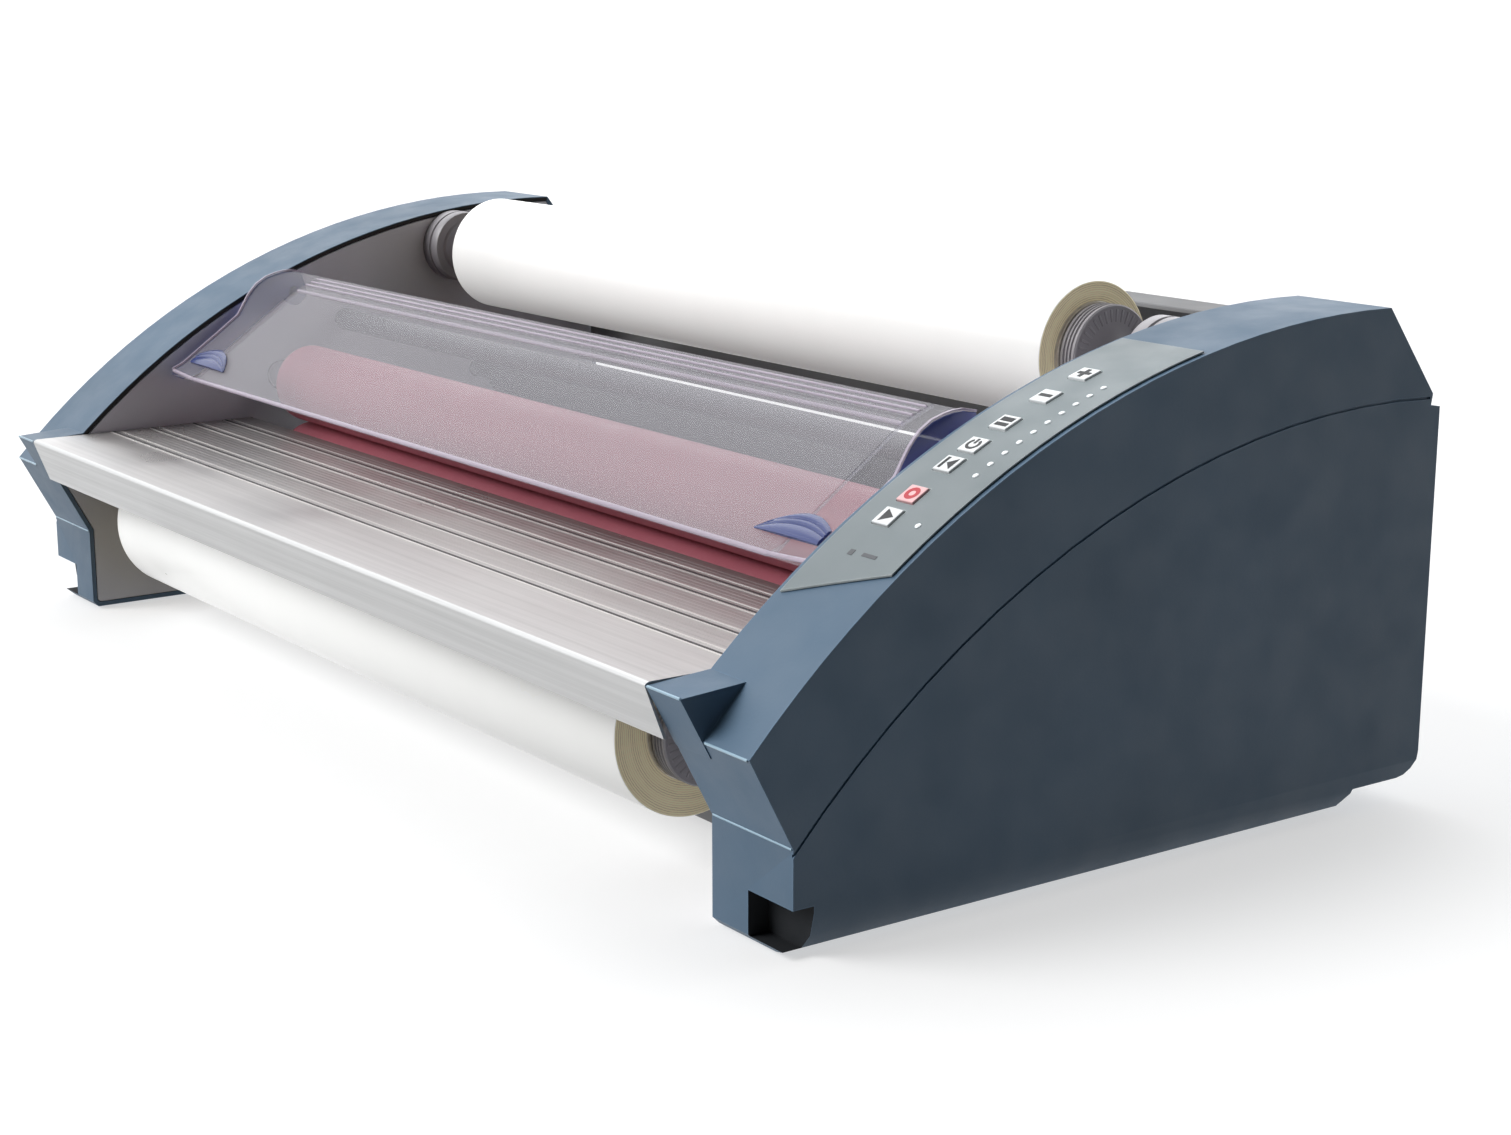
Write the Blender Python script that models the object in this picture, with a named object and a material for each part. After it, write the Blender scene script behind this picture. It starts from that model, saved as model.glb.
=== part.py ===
"""Desktop roll laminator with upper and lower film rolls, modelled as an assembly.

Metres, +Z up.  +X runs along the rollers towards the control side, the infeed is at -Y,
and the origin is the middle of the footprint, on the surface the machine stands on.
"""
from math import acos, atan2, cos, hypot, pi, radians, sin

import bmesh
import bpy
from mathutils import Matrix, Vector

# ---------------------------------------------------------------- driving dimensions
GAP = 0.0003            # clearance kept between pieces that touch
HALF_WIDTH = 0.460      # outer face of a side cabinet
INNER_X = 0.3945        # inner face of a side cabinet
BEAK_X = 0.4234         # outer face of the beak at the front of a cabinet
BASE_X = 0.4412         # outer edge of a cabinet's base, under the rolled side wall
WALL = 0.003            # moulded cover
FRAME_T = 0.003         # steel side frame

FOOT_Y = -0.1971        # upright front face of a cabinet's foot
BASE_Z = 0.0015         # underside of the covers, above the rubber strips
CREASE_Z = 0.0576       # where the foot meets the overhanging front face
NOSE = (-0.2219, 0.1046)      # where the overhanging face meets the top arc
BEAK_TIP = (-0.2345, 0.1270)
BEAK_BACK = (-0.1974, 0.1294)
ARC_CENTRE = (0.1784, -0.2701)
ARC_R = 0.5485          # top arc of a cabinet
SEAM_CENTRE = (0.1954, -0.3022)
SEAM_R = 0.5304         # groove between the cap and the side wall
SEAM_WIDTH = 0.0014
SEAM_DEPTH = 0.0010
REAR_CORNER_Y = 0.1914  # end of the top arc
CHAMFER_LOW = (0.2284, 0.2294)
REAR_STEP = (0.2272, 0.2232)
REAR_TOP = (0.2345, 0.2220)
REAR_Y = 0.2335         # rear face at the bottom
REAR_BASE_Z = 0.0150    # raised underside at the rear
REAR_BASE_Y = 0.1780    # where the raised underside starts
CORNER_R = 0.014        # rounded rear bottom corner
RECESS_X = 0.4242       # hand recess at the outer bottom corner of the front foot
RECESS_Z = (0.0045, 0.0279)
RECESS_DEPTH = 0.012

TABLE_Z = 0.1285        # top of the feed table
TABLE_T = 0.0015
TABLE_HALF = 0.3938
TABLE_BACK_Y = -0.0680
LIP_BOTTOM = (-0.2239, 0.0990)
TABLE_GROOVES = (-0.1757, -0.1467, -0.1145, -0.0895)

HEAT_Y = -0.0420        # laminating rollers
NIP_Z = 0.1300
NIP_GAP = 0.0006
SLEEVE_R = 0.0275
TUBE_R = 0.0235
JOURNAL_R = 0.0100
ROLLER_BORE_R = 0.0070
SLEEVE_HALF = 0.3450
HEATER_R = 0.0050
PULL_Y = 0.1250         # pull rollers
PULL_R = 0.0180
PULL_JOURNAL_R = 0.0060

FILM_HALF = 0.3250      # 650 mm film
CORE_R = 0.0285         # 57 mm cardboard core
CORE_T = 0.0030
UPPER_FILM = (0.1065, 0.2455)
UPPER_FILM_R = 0.0400
LOWER_FILM = (-0.1470, 0.0712)
LOWER_FILM_R = 0.0485
LOWER_MIDDLE = -0.0195   # the lower roll sits to the left of the machine's middle
MANDREL_R = 0.0080
CHUCK_R = 0.0250
HUB_R = 0.0265
HUB_X = 0.3720          # inner face of a supply hub

UPPER_IDLER = (0.0100, 0.1960)
LOWER_IDLER = (-0.0750, 0.0500)
IDLER_R = 0.0080
IDLER_PIN_R = 0.0040

SHIELD_PIVOT = (-0.0340, 0.2200)
SHIELD_TOP = (-0.0278, 0.2338)
SHIELD_KNEE = (-0.0480, 0.2262)
SHIELD_BOTTOM = (-0.1285, 0.1690)
SHIELD_T = 0.0030
SHIELD_HALF = 0.3500
BRACKET_END = 0.3845      # outer face of the guard's upturned ends
BRACKET_CREST = ((-0.0278, 0.2338), (-0.0363, 0.2354), (-0.0425, 0.2352), (-0.0480, 0.2342),
                 (-0.0560, 0.2318), (-0.0631, 0.2275), (-0.0668, 0.2239), (-0.0701, 0.2199),
                 (-0.0748, 0.2126), (-0.0789, 0.2058), (-0.0960, 0.1934), (-0.1240, 0.1738),
                 (-0.1318, 0.1704))
TAB_X = 0.3220          # inner end of a finger tab
PIN_R = 0.0040

OVERLAY_IN = 0.3985     # control overlay on the right-hand arc
OVERLAY_OUT = 0.4570
OVERLAY_LIFT = 0.0003
OVERLAY_T = 0.0010
OVERLAY_FRONT_IN = -0.1605
OVERLAY_FRONT_OUT = -0.1385
OVERLAY_BACK = 0.0580
BUTTON_X = 0.4205
BUTTON_W = 0.0125
BUTTON_L = 0.0118
BUTTON_TALL = 0.0070
BUTTON_PROUD = 0.0010
BUTTON_CLEAR = 0.0004
BUTTONS = {             # name: place along Y
    "run_button": -0.1117,
    "stop_button": -0.0967,
    "reverse_button": -0.0744,
    "standby_button": -0.0591,
    "mode_button": -0.0393,
    "slower_button": -0.0132,
    "faster_button": 0.0122,
}

GEAR_TEETH = 30
PINION_TEETH = 15
GEAR_X = (0.4143, 0.4220)
PINION_ANGLE = radians(-66)   # from the lower roller's axis, on one of its gear's teeth
BELT_X = (0.4262, 0.4342)
HEAT_PULLEY_R = 0.0200
PULL_PULLEY_R = 0.0131
BELT_T = 0.0015

ROCKER_PIVOT = (0.3420, 0.2235, 0.0550)
ROCKER_TILT = radians(8)      # switched off, one side in

UPPER_AXIS = (HEAT_Y, NIP_Z + SLEEVE_R + NIP_GAP / 2)
LOWER_AXIS = (HEAT_Y, NIP_Z - SLEEVE_R - NIP_GAP / 2)
UPPER_PULL = (PULL_Y, NIP_Z + PULL_R + NIP_GAP / 2)
LOWER_PULL = (PULL_Y, NIP_Z - PULL_R - NIP_GAP / 2)
GEAR_PITCH_R = SLEEVE_R + NIP_GAP / 2
PINION_PITCH_R = GEAR_PITCH_R * PINION_TEETH / GEAR_TEETH
PINION_REACH = GEAR_PITCH_R + PINION_PITCH_R
PINION_AXIS = (LOWER_AXIS[0] + PINION_REACH * cos(PINION_ANGLE),
               LOWER_AXIS[1] + PINION_REACH * sin(PINION_ANGLE))

# ---------------------------------------------------------------- materials
MATERIALS = {           # name: (red, green, blue, roughness, metallic, alpha)
    "slate_plastic": (0.060, 0.090, 0.125, 0.55, 0.0, 1.0),
    "grey_frame": (0.170, 0.175, 0.175, 0.50, 0.4, 1.0),
    "satin_metal": (0.560, 0.560, 0.550, 0.35, 0.9, 1.0),
    "bare_steel": (0.480, 0.480, 0.490, 0.30, 1.0, 1.0),
    "red_silicone": (0.620, 0.130, 0.110, 0.45, 0.0, 1.0),
    "white_film": (0.860, 0.860, 0.840, 0.30, 0.0, 1.0),
    "card_core": (0.420, 0.340, 0.230, 0.90, 0.0, 1.0),
    "black_plastic": (0.030, 0.030, 0.032, 0.50, 0.0, 1.0),
    "clear_acrylic": (0.800, 0.830, 0.860, 0.08, 0.0, 0.35),
    "blue_clear": (0.060, 0.110, 0.420, 0.25, 0.0, 0.80),
    "pale_overlay": (0.420, 0.480, 0.470, 0.45, 0.0, 1.0),
    "button_white": (0.780, 0.790, 0.780, 0.50, 0.0, 1.0),
    "button_red": (0.560, 0.060, 0.060, 0.50, 0.0, 1.0),
    "rubber": (0.020, 0.020, 0.020, 0.85, 0.0, 1.0),
    "circuit_green": (0.020, 0.160, 0.060, 0.50, 0.0, 1.0),
}


def clear_scene():
    for old in list(bpy.data.objects):
        bpy.data.objects.remove(old, do_unlink=True)


def material(name):
    made = bpy.data.materials.get(name)
    if made:
        return made
    red, green, blue, roughness, metallic, alpha = MATERIALS[name]
    made = bpy.data.materials.new(name)
    made.use_nodes = True
    shader = made.node_tree.nodes["Principled BSDF"]
    shader.inputs["Base Color"].default_value = (red, green, blue, 1.0)
    shader.inputs["Roughness"].default_value = roughness
    shader.inputs["Metallic"].default_value = metallic
    shader.inputs["Alpha"].default_value = alpha
    return made


# ---------------------------------------------------------------- outlines in the YZ plane
def arc_points(centre, radius, start, end, steps):
    """Points on a circle from one angle to another, both ends included."""
    return [(centre[0] + radius * cos(start + (end - start) * k / steps),
             centre[1] + radius * sin(start + (end - start) * k / steps))
            for k in range(steps + 1)]


def arc_angle(y, centre=ARC_CENTRE, radius=ARC_R):
    """Angle, from +Y, of the point of an arc that lies at a given Y."""
    return acos((y - centre[0]) / radius)


def inset(outline, distance):
    """Move every edge of a clockwise outline inwards by the same distance."""
    moved = []
    count = len(outline)
    for k in range(count):
        before = Vector(outline[k - 1])
        here = Vector(outline[k])
        after = Vector(outline[(k + 1) % count])
        way_in = (here - before).normalized()
        way_out = (after - here).normalized()
        normal_in = Vector((way_in.y, -way_in.x))
        normal_out = Vector((way_out.y, -way_out.x))
        middle = normal_in + normal_out
        moved.append(tuple(here + middle * (distance * 2 / middle.length_squared)))
    return moved


def cabinet_outline(arc_steps=24, corner_steps=4):
    """Side view of a cabinet, clockwise from the bottom of its front foot."""
    rear_angle = arc_angle(REAR_CORNER_Y)
    nose_angle = arc_angle(NOSE[0])
    corner = (REAR_Y - CORNER_R, REAR_BASE_Z + CORNER_R)
    outline = [(FOOT_Y + 0.004, BASE_Z), (FOOT_Y, BASE_Z + 0.004), (FOOT_Y, CREASE_Z)]
    outline += arc_points(ARC_CENTRE, ARC_R, nose_angle, rear_angle, arc_steps)
    outline += [CHAMFER_LOW, REAR_STEP, REAR_TOP]
    outline += arc_points(corner, CORNER_R, 0.0, -pi / 2, corner_steps)
    outline += [(REAR_BASE_Y + 0.006, REAR_BASE_Z), (REAR_BASE_Y, BASE_Z)]
    return outline


def circle_outline(centre, radius, steps=20):
    return arc_points(centre, radius, 0.0, 2 * pi * (steps - 1) / steps, steps - 1)


def box_outline(y0, z0, y1, z1):
    return [(y0, z0), (y0, z1), (y1, z1), (y1, z0)]


def arc_strip(low, high, y0, y1, centre=ARC_CENTRE, radius=ARC_R, steps=20):
    """Strip that follows an arc between two lifts above it."""
    outer = arc_points(centre, radius + high, arc_angle(y0, centre, radius),
                       arc_angle(y1, centre, radius), steps)
    inner = arc_points(centre, radius + low, arc_angle(y1, centre, radius),
                       arc_angle(y0, centre, radius), steps)
    return outer + inner


def gear_outline(teeth, pitch_r, phase, centre):
    """Straight-flanked teeth with running backlash, one tooth centred on the phase."""
    module = 2 * pitch_r / teeth
    pitch = 2 * pi / teeth
    flank = ((-0.31, -1.20), (-0.11, 0.85), (0.11, 0.85), (0.31, -1.20))
    points = []
    for tooth in range(teeth):
        for share, height in flank:
            angle = phase + pitch * (tooth + share)
            radius = pitch_r + module * height
            points.append((centre[0] + radius * cos(angle), centre[1] + radius * sin(angle)))
    return points


def belt_outline(first, first_r, second, second_r, steps=12):
    """Outline of a band pulled round two pulleys."""
    along = atan2(second[1] - first[1], second[0] - first[0])
    spread = acos((first_r - second_r) / hypot(second[0] - first[0], second[1] - first[1]))
    return (arc_points(first, first_r, along + spread, along + 2 * pi - spread, steps)
            + arc_points(second, second_r, along - spread, along + spread, steps))


# ---------------------------------------------------------------- solids
def finish(name, mesh, colour, origin=(0.0, 0.0, 0.0), smooth=False):
    """Turn a finished bmesh into a named object with its origin at a given point."""
    bmesh.ops.recalc_face_normals(mesh, faces=mesh.faces)
    bmesh.ops.translate(mesh, verts=mesh.verts, vec=-Vector(origin))
    data = bpy.data.meshes.new(name)
    mesh.to_mesh(data)
    mesh.free()
    if smooth:
        data.shade_smooth()
        data.set_sharp_from_angle(angle=radians(35))
    made = bpy.data.objects.new(name, data)
    made.location = origin
    bpy.context.scene.collection.objects.link(made)
    if colour:
        data.materials.append(material(colour))
    return made


def extruded(name, outline, x0, x1, colour, origin=(0.0, 0.0, 0.0), smooth=False):
    """Outline in the YZ plane, pushed along X."""
    mesh = bmesh.new()
    face = mesh.faces.new([mesh.verts.new((x0, y, z)) for y, z in outline])
    pushed = bmesh.ops.extrude_face_region(mesh, geom=[face])
    moved = [part for part in pushed["geom"] if isinstance(part, bmesh.types.BMVert)]
    bmesh.ops.translate(mesh, verts=moved, vec=(x1 - x0, 0.0, 0.0))
    return finish(name, mesh, colour, origin, smooth)


def extruded_along_y(name, outline, y0, y1, colour):
    """Outline in the XZ plane, pushed along Y."""
    mesh = bmesh.new()
    face = mesh.faces.new([mesh.verts.new((x, y0, z)) for x, z in outline])
    pushed = bmesh.ops.extrude_face_region(mesh, geom=[face])
    moved = [part for part in pushed["geom"] if isinstance(part, bmesh.types.BMVert)]
    bmesh.ops.translate(mesh, verts=moved, vec=(0.0, y1 - y0, 0.0))
    return finish(name, mesh, colour)


def turned(name, profile, axis, colour, steps=24):
    """Profile of (x, radius) points turned about a line along X through axis (y, z)."""
    mesh = bmesh.new()
    verts = [mesh.verts.new((x, 0.0, radius)) for x, radius in profile]
    edges = [mesh.edges.new(pair) for pair in zip(verts, verts[1:])]
    closed = profile[0][1] > 0.0
    if closed:
        edges.append(mesh.edges.new((verts[-1], verts[0])))
    bmesh.ops.spin(mesh, geom=verts + edges, cent=(0, 0, 0), axis=(1, 0, 0), dvec=(0, 0, 0),
                   angle=2 * pi, steps=steps, use_duplicate=False)
    bmesh.ops.remove_doubles(mesh, verts=mesh.verts, dist=0.00001)
    bmesh.ops.translate(mesh, verts=mesh.verts, vec=(0.0, axis[0], axis[1]))
    return finish(name, mesh, colour, (0.0, axis[0], axis[1]), smooth=True)


def tube_profile(x0, x1, outer_r, inner_r):
    return [(x0, inner_r), (x0, outer_r), (x1, outer_r), (x1, inner_r)]


def rod_profile(points):
    """Solid round bar: the profile closed on its axis at both ends."""
    return [(points[0][0], 0.0)] + points + [(points[-1][0], 0.0)]


def mirrored(points):
    """Right-hand half of a profile, with its mirror image on the left."""
    return [(-x, radius) for x, radius in reversed(points)] + points


def box(name, low, high, colour, origin=(0.0, 0.0, 0.0)):
    return extruded(name, box_outline(low[1], low[2], high[1], high[2]), low[0], high[0],
                    colour, origin)


def combine(target, tool, operation):
    change = target.modifiers.new(tool.name, "BOOLEAN")
    change.operation = operation
    change.solver = "EXACT"
    change.object = tool
    tool.hide_render = True
    tool.display_type = "WIRE"
    return target


def cut(target, tool):
    return combine(target, tool, "DIFFERENCE")


def join(target, tool):
    return combine(target, tool, "UNION")


def sides():
    return (("left", -1.0), ("right", 1.0))


# ---------------------------------------------------------------- cabinets and chassis
def recess_outline(wall):
    """Front view of the hand recess, or of the room it takes with a wall round it."""
    low = RECESS_Z[0] if wall == 0.0 else -0.010
    outer = HALF_WIDTH + 0.020
    return [(RECESS_X - wall, low), (RECESS_X - wall, RECESS_Z[1] + wall),
            (outer, RECESS_Z[1] + wall), (outer, low)]


def side_cover(side, way):
    """Hollow moulded end cabinet with its beak, rolled side wall and hand recess."""
    outline = cabinet_outline()
    cover = extruded(f"side_cover_{side}", outline, way * INNER_X, way * HALF_WIDTH,
                     "slate_plastic")
    low = 0.0245
    roll = [(BASE_X, -0.010), (BASE_X, BASE_Z), (0.4505, 0.0045), (0.4570, 0.0125),
            (HALF_WIDTH, low), (HALF_WIDTH + 0.010, low), (HALF_WIDTH + 0.010, -0.010)]
    cut(cover, extruded_along_y(f"roll_cut_{side}", [(way * x, z) for x, z in roll],
                                -0.250, 0.250, None))
    slope = (BEAK_TIP[0] - FOOT_Y, BEAK_TIP[1] - CREASE_Z)
    start = (FOOT_Y + slope[0] * 0.55, CREASE_Z + slope[1] * 0.55)
    beak = [start, BEAK_TIP, BEAK_BACK, (-0.1900, 0.1200), (-0.2000, 0.0960)]
    join(cover, extruded(f"beak_{side}", beak, way * INNER_X, way * BEAK_X, None))
    hollow = extruded(f"hollow_{side}", inset(outline, WALL), way * (INNER_X - 0.001),
                      way * (HALF_WIDTH - WALL), None)
    low_in = 0.0255
    roll_in = [(BASE_X - 0.0015, -0.010), (BASE_X - 0.0015, BASE_Z + WALL), (0.4483, 0.0072),
               (0.4542, 0.0145), (HALF_WIDTH - WALL, low_in), (HALF_WIDTH + 0.010, low_in),
               (HALF_WIDTH + 0.010, -0.010)]
    cut(hollow, extruded_along_y(f"hollow_roll_{side}", [(way * x, z) for x, z in roll_in],
                                 -0.250, 0.250, None))
    inner = recess_outline(WALL)
    cut(hollow, extruded_along_y(f"recess_wall_{side}", [(way * x, z) for x, z in inner],
                                 FOOT_Y - 0.020, FOOT_Y + RECESS_DEPTH + WALL, None))
    cut(cover, hollow)
    cut(cover, extruded_along_y(f"recess_{side}",
                                [(way * x, z) for x, z in recess_outline(0.0)],
                                FOOT_Y - 0.010, FOOT_Y + RECESS_DEPTH, None))
    half = SEAM_WIDTH / 2
    seam = arc_strip(-half, half, FOOT_Y - 0.001, 0.2262, SEAM_CENTRE, SEAM_R, 18)
    cut(cover, extruded(f"seam_{side}", seam, way * (HALF_WIDTH - SEAM_DEPTH),
                        way * (HALF_WIDTH + 0.002), None))
    return cover


def button_frame(y, lift):
    """Place and turn for something on the top arc: its own +Z points away from the arc."""
    angle = arc_angle(y)
    radius = ARC_R + lift
    place = Vector((BUTTON_X, ARC_CENTRE[0] + radius * cos(angle),
                    ARC_CENTRE[1] + radius * sin(angle)))
    return place, angle - pi / 2


def button_block(name, y, low, high, width, length, colour):
    """Small block standing on the top arc between two lifts."""
    place, turn = button_frame(y, high)
    mesh = bmesh.new()
    bmesh.ops.create_cube(mesh, size=1.0)
    bmesh.ops.scale(mesh, verts=mesh.verts, vec=(width, length, high - low))
    bmesh.ops.translate(mesh, verts=mesh.verts, vec=(0.0, 0.0, (low - high) / 2))
    made = finish(name, mesh, colour)
    made.location = place
    made.rotation_euler = (turn, 0.0, 0.0)
    return made


def button_hole_cutters():
    for name, y in BUTTONS.items():
        yield button_block(f"{name}_hole", y, -0.010, 0.006, BUTTON_W + 2 * BUTTON_CLEAR,
                           BUTTON_L + 2 * BUTTON_CLEAR, None)


def control_panel(cover):
    """Printed overlay, the seven buttons through it and the keypad board below."""
    overlay = extruded("control_overlay", arc_strip(OVERLAY_LIFT, OVERLAY_LIFT + OVERLAY_T,
                                                    OVERLAY_FRONT_IN, OVERLAY_BACK),
                       OVERLAY_IN, OVERLAY_OUT, "pale_overlay")
    corner = [(OVERLAY_IN - 0.001, OVERLAY_FRONT_IN - 0.020),
              (OVERLAY_IN - 0.001, OVERLAY_FRONT_IN), (OVERLAY_OUT + 0.001, OVERLAY_FRONT_OUT),
              (OVERLAY_OUT + 0.001, OVERLAY_FRONT_IN - 0.020)]
    mesh = bmesh.new()
    face = mesh.faces.new([mesh.verts.new((x, y, 0.150)) for x, y in corner])
    pushed = bmesh.ops.extrude_face_region(mesh, geom=[face])
    moved = [part for part in pushed["geom"] if isinstance(part, bmesh.types.BMVert)]
    bmesh.ops.translate(mesh, verts=moved, vec=(0.0, 0.0, 0.060))
    cut(overlay, finish("overlay_corner", mesh, None))
    for hole in button_hole_cutters():
        cut(cover, hole)
        cut(overlay, hole)
    top = OVERLAY_LIFT + OVERLAY_T + BUTTON_PROUD
    for name, y in BUTTONS.items():
        colour = "button_red" if name == "stop_button" else "button_white"
        button_block(name, y, top - BUTTON_TALL, top, BUTTON_W, BUTTON_L, colour)
    extruded("keypad_board", arc_strip(-0.0086, -0.0070, -0.1300, 0.0300, steps=10),
             0.4000, 0.4480, "circuit_green")


def side_frame(side, way):
    """Steel plate that carries every shaft and closes the inner side of a cabinet."""
    frame = extruded(f"side_frame_{side}", inset(cabinet_outline(16, 3), WALL + 2 * GAP),
                     way * INNER_X, way * (INNER_X + FRAME_T), "grey_frame")
    holes = {
        "upper_shaft": (UPPER_AXIS, JOURNAL_R + 0.001),
        "lower_shaft": (LOWER_AXIS, JOURNAL_R + 0.001),
        "upper_pull": (UPPER_PULL, PULL_JOURNAL_R + 0.001),
        "lower_pull": (LOWER_PULL, PULL_JOURNAL_R + 0.001),
        "upper_idler": (UPPER_IDLER, IDLER_PIN_R + 0.0005),
        "lower_idler": (LOWER_IDLER, IDLER_PIN_R + 0.0005),
        "shield_pin": (SHIELD_PIVOT, PIN_R + 0.0005),
    }
    for name, (centre, radius) in holes.items():
        cut(frame, extruded(f"{name}_hole_{side}", circle_outline(centre, radius, 16),
                            way * (INNER_X - 0.002), way * (INNER_X + FRAME_T + 0.002), None))
    return frame


def bearing_block(name, way, axes, radius, half_y, margin_z, depth):
    """Block that carries two shafts, bolted to the outside of a side frame."""
    y = axes[0][0]
    low, high = axes[1][1] - margin_z, axes[0][1] + margin_z
    x0 = INNER_X + FRAME_T + GAP
    block = extruded(name, box_outline(y - half_y, low, y + half_y, high), way * x0,
                     way * (x0 + depth), "black_plastic")
    for k, centre in enumerate(axes):
        cut(block, extruded(f"{name}_bore_{k}", circle_outline(centre, radius + 0.0004, 24),
                            way * (x0 - 0.002), way * (x0 + depth + 0.002), None))
    return block


def chassis():
    """Everything bolted together between and inside the two cabinets."""
    for side, way in sides():
        cover = side_cover(side, way)
        if side == "right":
            control_panel(cover)
        side_frame(side, way)
        box(f"foot_strip_{side}", (way * 0.4020, -0.1880, 0.0), (way * 0.4360, 0.1680, 0.0012),
            "rubber")
        bearing_block(f"roller_bearing_{side}", way, (UPPER_AXIS, LOWER_AXIS), JOURNAL_R,
                      0.0200, 0.0200, 0.0140)
        bearing_block(f"pull_bearing_{side}", way, (UPPER_PULL, LOWER_PULL), PULL_JOURNAL_R,
                      0.0140, 0.0140, 0.0120)
        for level, axis in (("upper", UPPER_FILM), ("lower", LOWER_FILM)):
            hub = tube_profile(HUB_X, INNER_X - GAP, HUB_R, MANDREL_R + 0.0006)
            turned(f"{level}_hub_{side}", [(way * x, r) for x, r in hub], axis, "black_plastic")
        rail = [(-0.2050, 0.1200), (-0.2050, 0.1266), (-0.0900, 0.1266), (-0.0900, 0.1200)]
        extruded(f"table_rail_{side}", rail, way * 0.3790, way * (INNER_X - GAP), "grey_frame")

    turned("front_tie_bar", rod_profile([(-INNER_X + GAP, 0.006), (INNER_X - GAP, 0.006)]),
           (-0.2070, 0.1135), "bare_steel", 16)
    inside = INNER_X - 2 * GAP
    pan = [(-0.1180, 0.0060), (-0.1180, 0.0220), (-0.1160, 0.0220), (-0.1160, 0.0080),
           (0.2290, 0.0080), (0.2290, 0.1120), (0.2310, 0.1120), (0.2310, 0.0060)]
    pan_body = extruded("base_pan", pan, -inside, inside, "grey_frame")
    cut(pan_body, box("inlet_window", (0.2890, 0.2200, 0.0390), (0.3610, 0.2400, 0.0710), None))
    cover = [(0.1660, 0.2640), (0.1660, 0.2668), (0.1905, 0.2680), (0.2256, 0.2248),
             (0.2310, 0.2236), (0.2310, 0.1480), (0.2180, 0.1480), (0.2180, 0.1500),
             (0.2290, 0.1500), (0.2290, 0.2220), (0.2244, 0.2230), (0.1894, 0.2654)]
    extruded("rear_cover", cover, -inside, inside, "pale_overlay")


def power_entry():
    """Mains socket with its rocker switch, in the back wall, and the supply behind it."""
    socket = box("power_inlet", (0.2893, 0.2120, 0.0393), (0.3607, 0.2325, 0.0707),
                 "black_plastic")
    cut(socket, box("inlet_recess", (0.2930, 0.2180, 0.0440), (0.3180, 0.2400, 0.0660), None))
    cut(socket, box("rocker_recess", (0.3300, 0.2160, 0.0460), (0.3540, 0.2400, 0.0640), None))
    profile = [(0.2185, 0.0520), (0.2185, 0.0580), (0.2318, 0.0626), (0.2306, 0.0550),
               (0.2318, 0.0474)]
    rocker = extruded("power_rocker", profile, 0.3306, 0.3534, "rubber", ROCKER_PIVOT)
    rocker.rotation_euler = (ROCKER_TILT, 0.0, 0.0)
    box("power_supply", (-0.4480, -0.0500, 0.0200), (-0.4160, 0.1500, 0.0700), "satin_metal")


# ---------------------------------------------------------------- table and shield
def feed_table():
    """Folded sheet with a sloping front lip and dark inlaid lines along its length."""
    top, under = TABLE_Z, TABLE_Z - TABLE_T
    outline = [(LIP_BOTTOM[0] + 0.0015, LIP_BOTTOM[1]), LIP_BOTTOM, BEAK_TIP,
               (BEAK_TIP[0] + 0.0015, top)]
    for y in sorted(TABLE_GROOVES):
        outline += [(y - 0.0005, top), (y - 0.0004, top - 0.0005), (y + 0.0004, top - 0.0005),
                    (y + 0.0005, top)]
    outline += [(TABLE_BACK_Y, top), (TABLE_BACK_Y, under), (BEAK_TIP[0] + 0.0022, under)]
    return extruded("feed_table", outline, -TABLE_HALF, TABLE_HALF, "satin_metal")


def on_panel(point, lip, depth):
    """The guard panel's surface, or a depth below it, at a point's place along Y."""
    y = min(max(point[0], lip.x), SHIELD_TOP[0])
    path = (tuple(lip), SHIELD_BOTTOM, SHIELD_KNEE, SHIELD_TOP)
    for (y0, z0), (y1, z1) in zip(path, path[1:]):
        if y <= y1:
            return (y, z0 + (z1 - z0) * (y - y0) / (y1 - y0) - depth)
    return (y, SHIELD_TOP[1] - depth)


def lofted(name, first, x0, last, x1, colour, origin):
    """Body between two outlines in the YZ plane that have as many points as each other."""
    mesh = bmesh.new()
    ends = [[mesh.verts.new((x, y, z)) for y, z in outline]
            for x, outline in ((x0, first), (x1, last))]
    for end in ends:
        mesh.faces.new(end)
    walls = []
    for k in range(len(first)):
        j = (k + 1) % len(first)
        walls.append(mesh.faces.new((ends[0][k], ends[0][j], ends[1][j], ends[1][k])))
    bmesh.ops.triangulate(mesh, faces=walls)
    bmesh.ops.remove_doubles(mesh, verts=mesh.verts, dist=0.00002)
    return finish(name, mesh, colour, origin, False)


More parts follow.
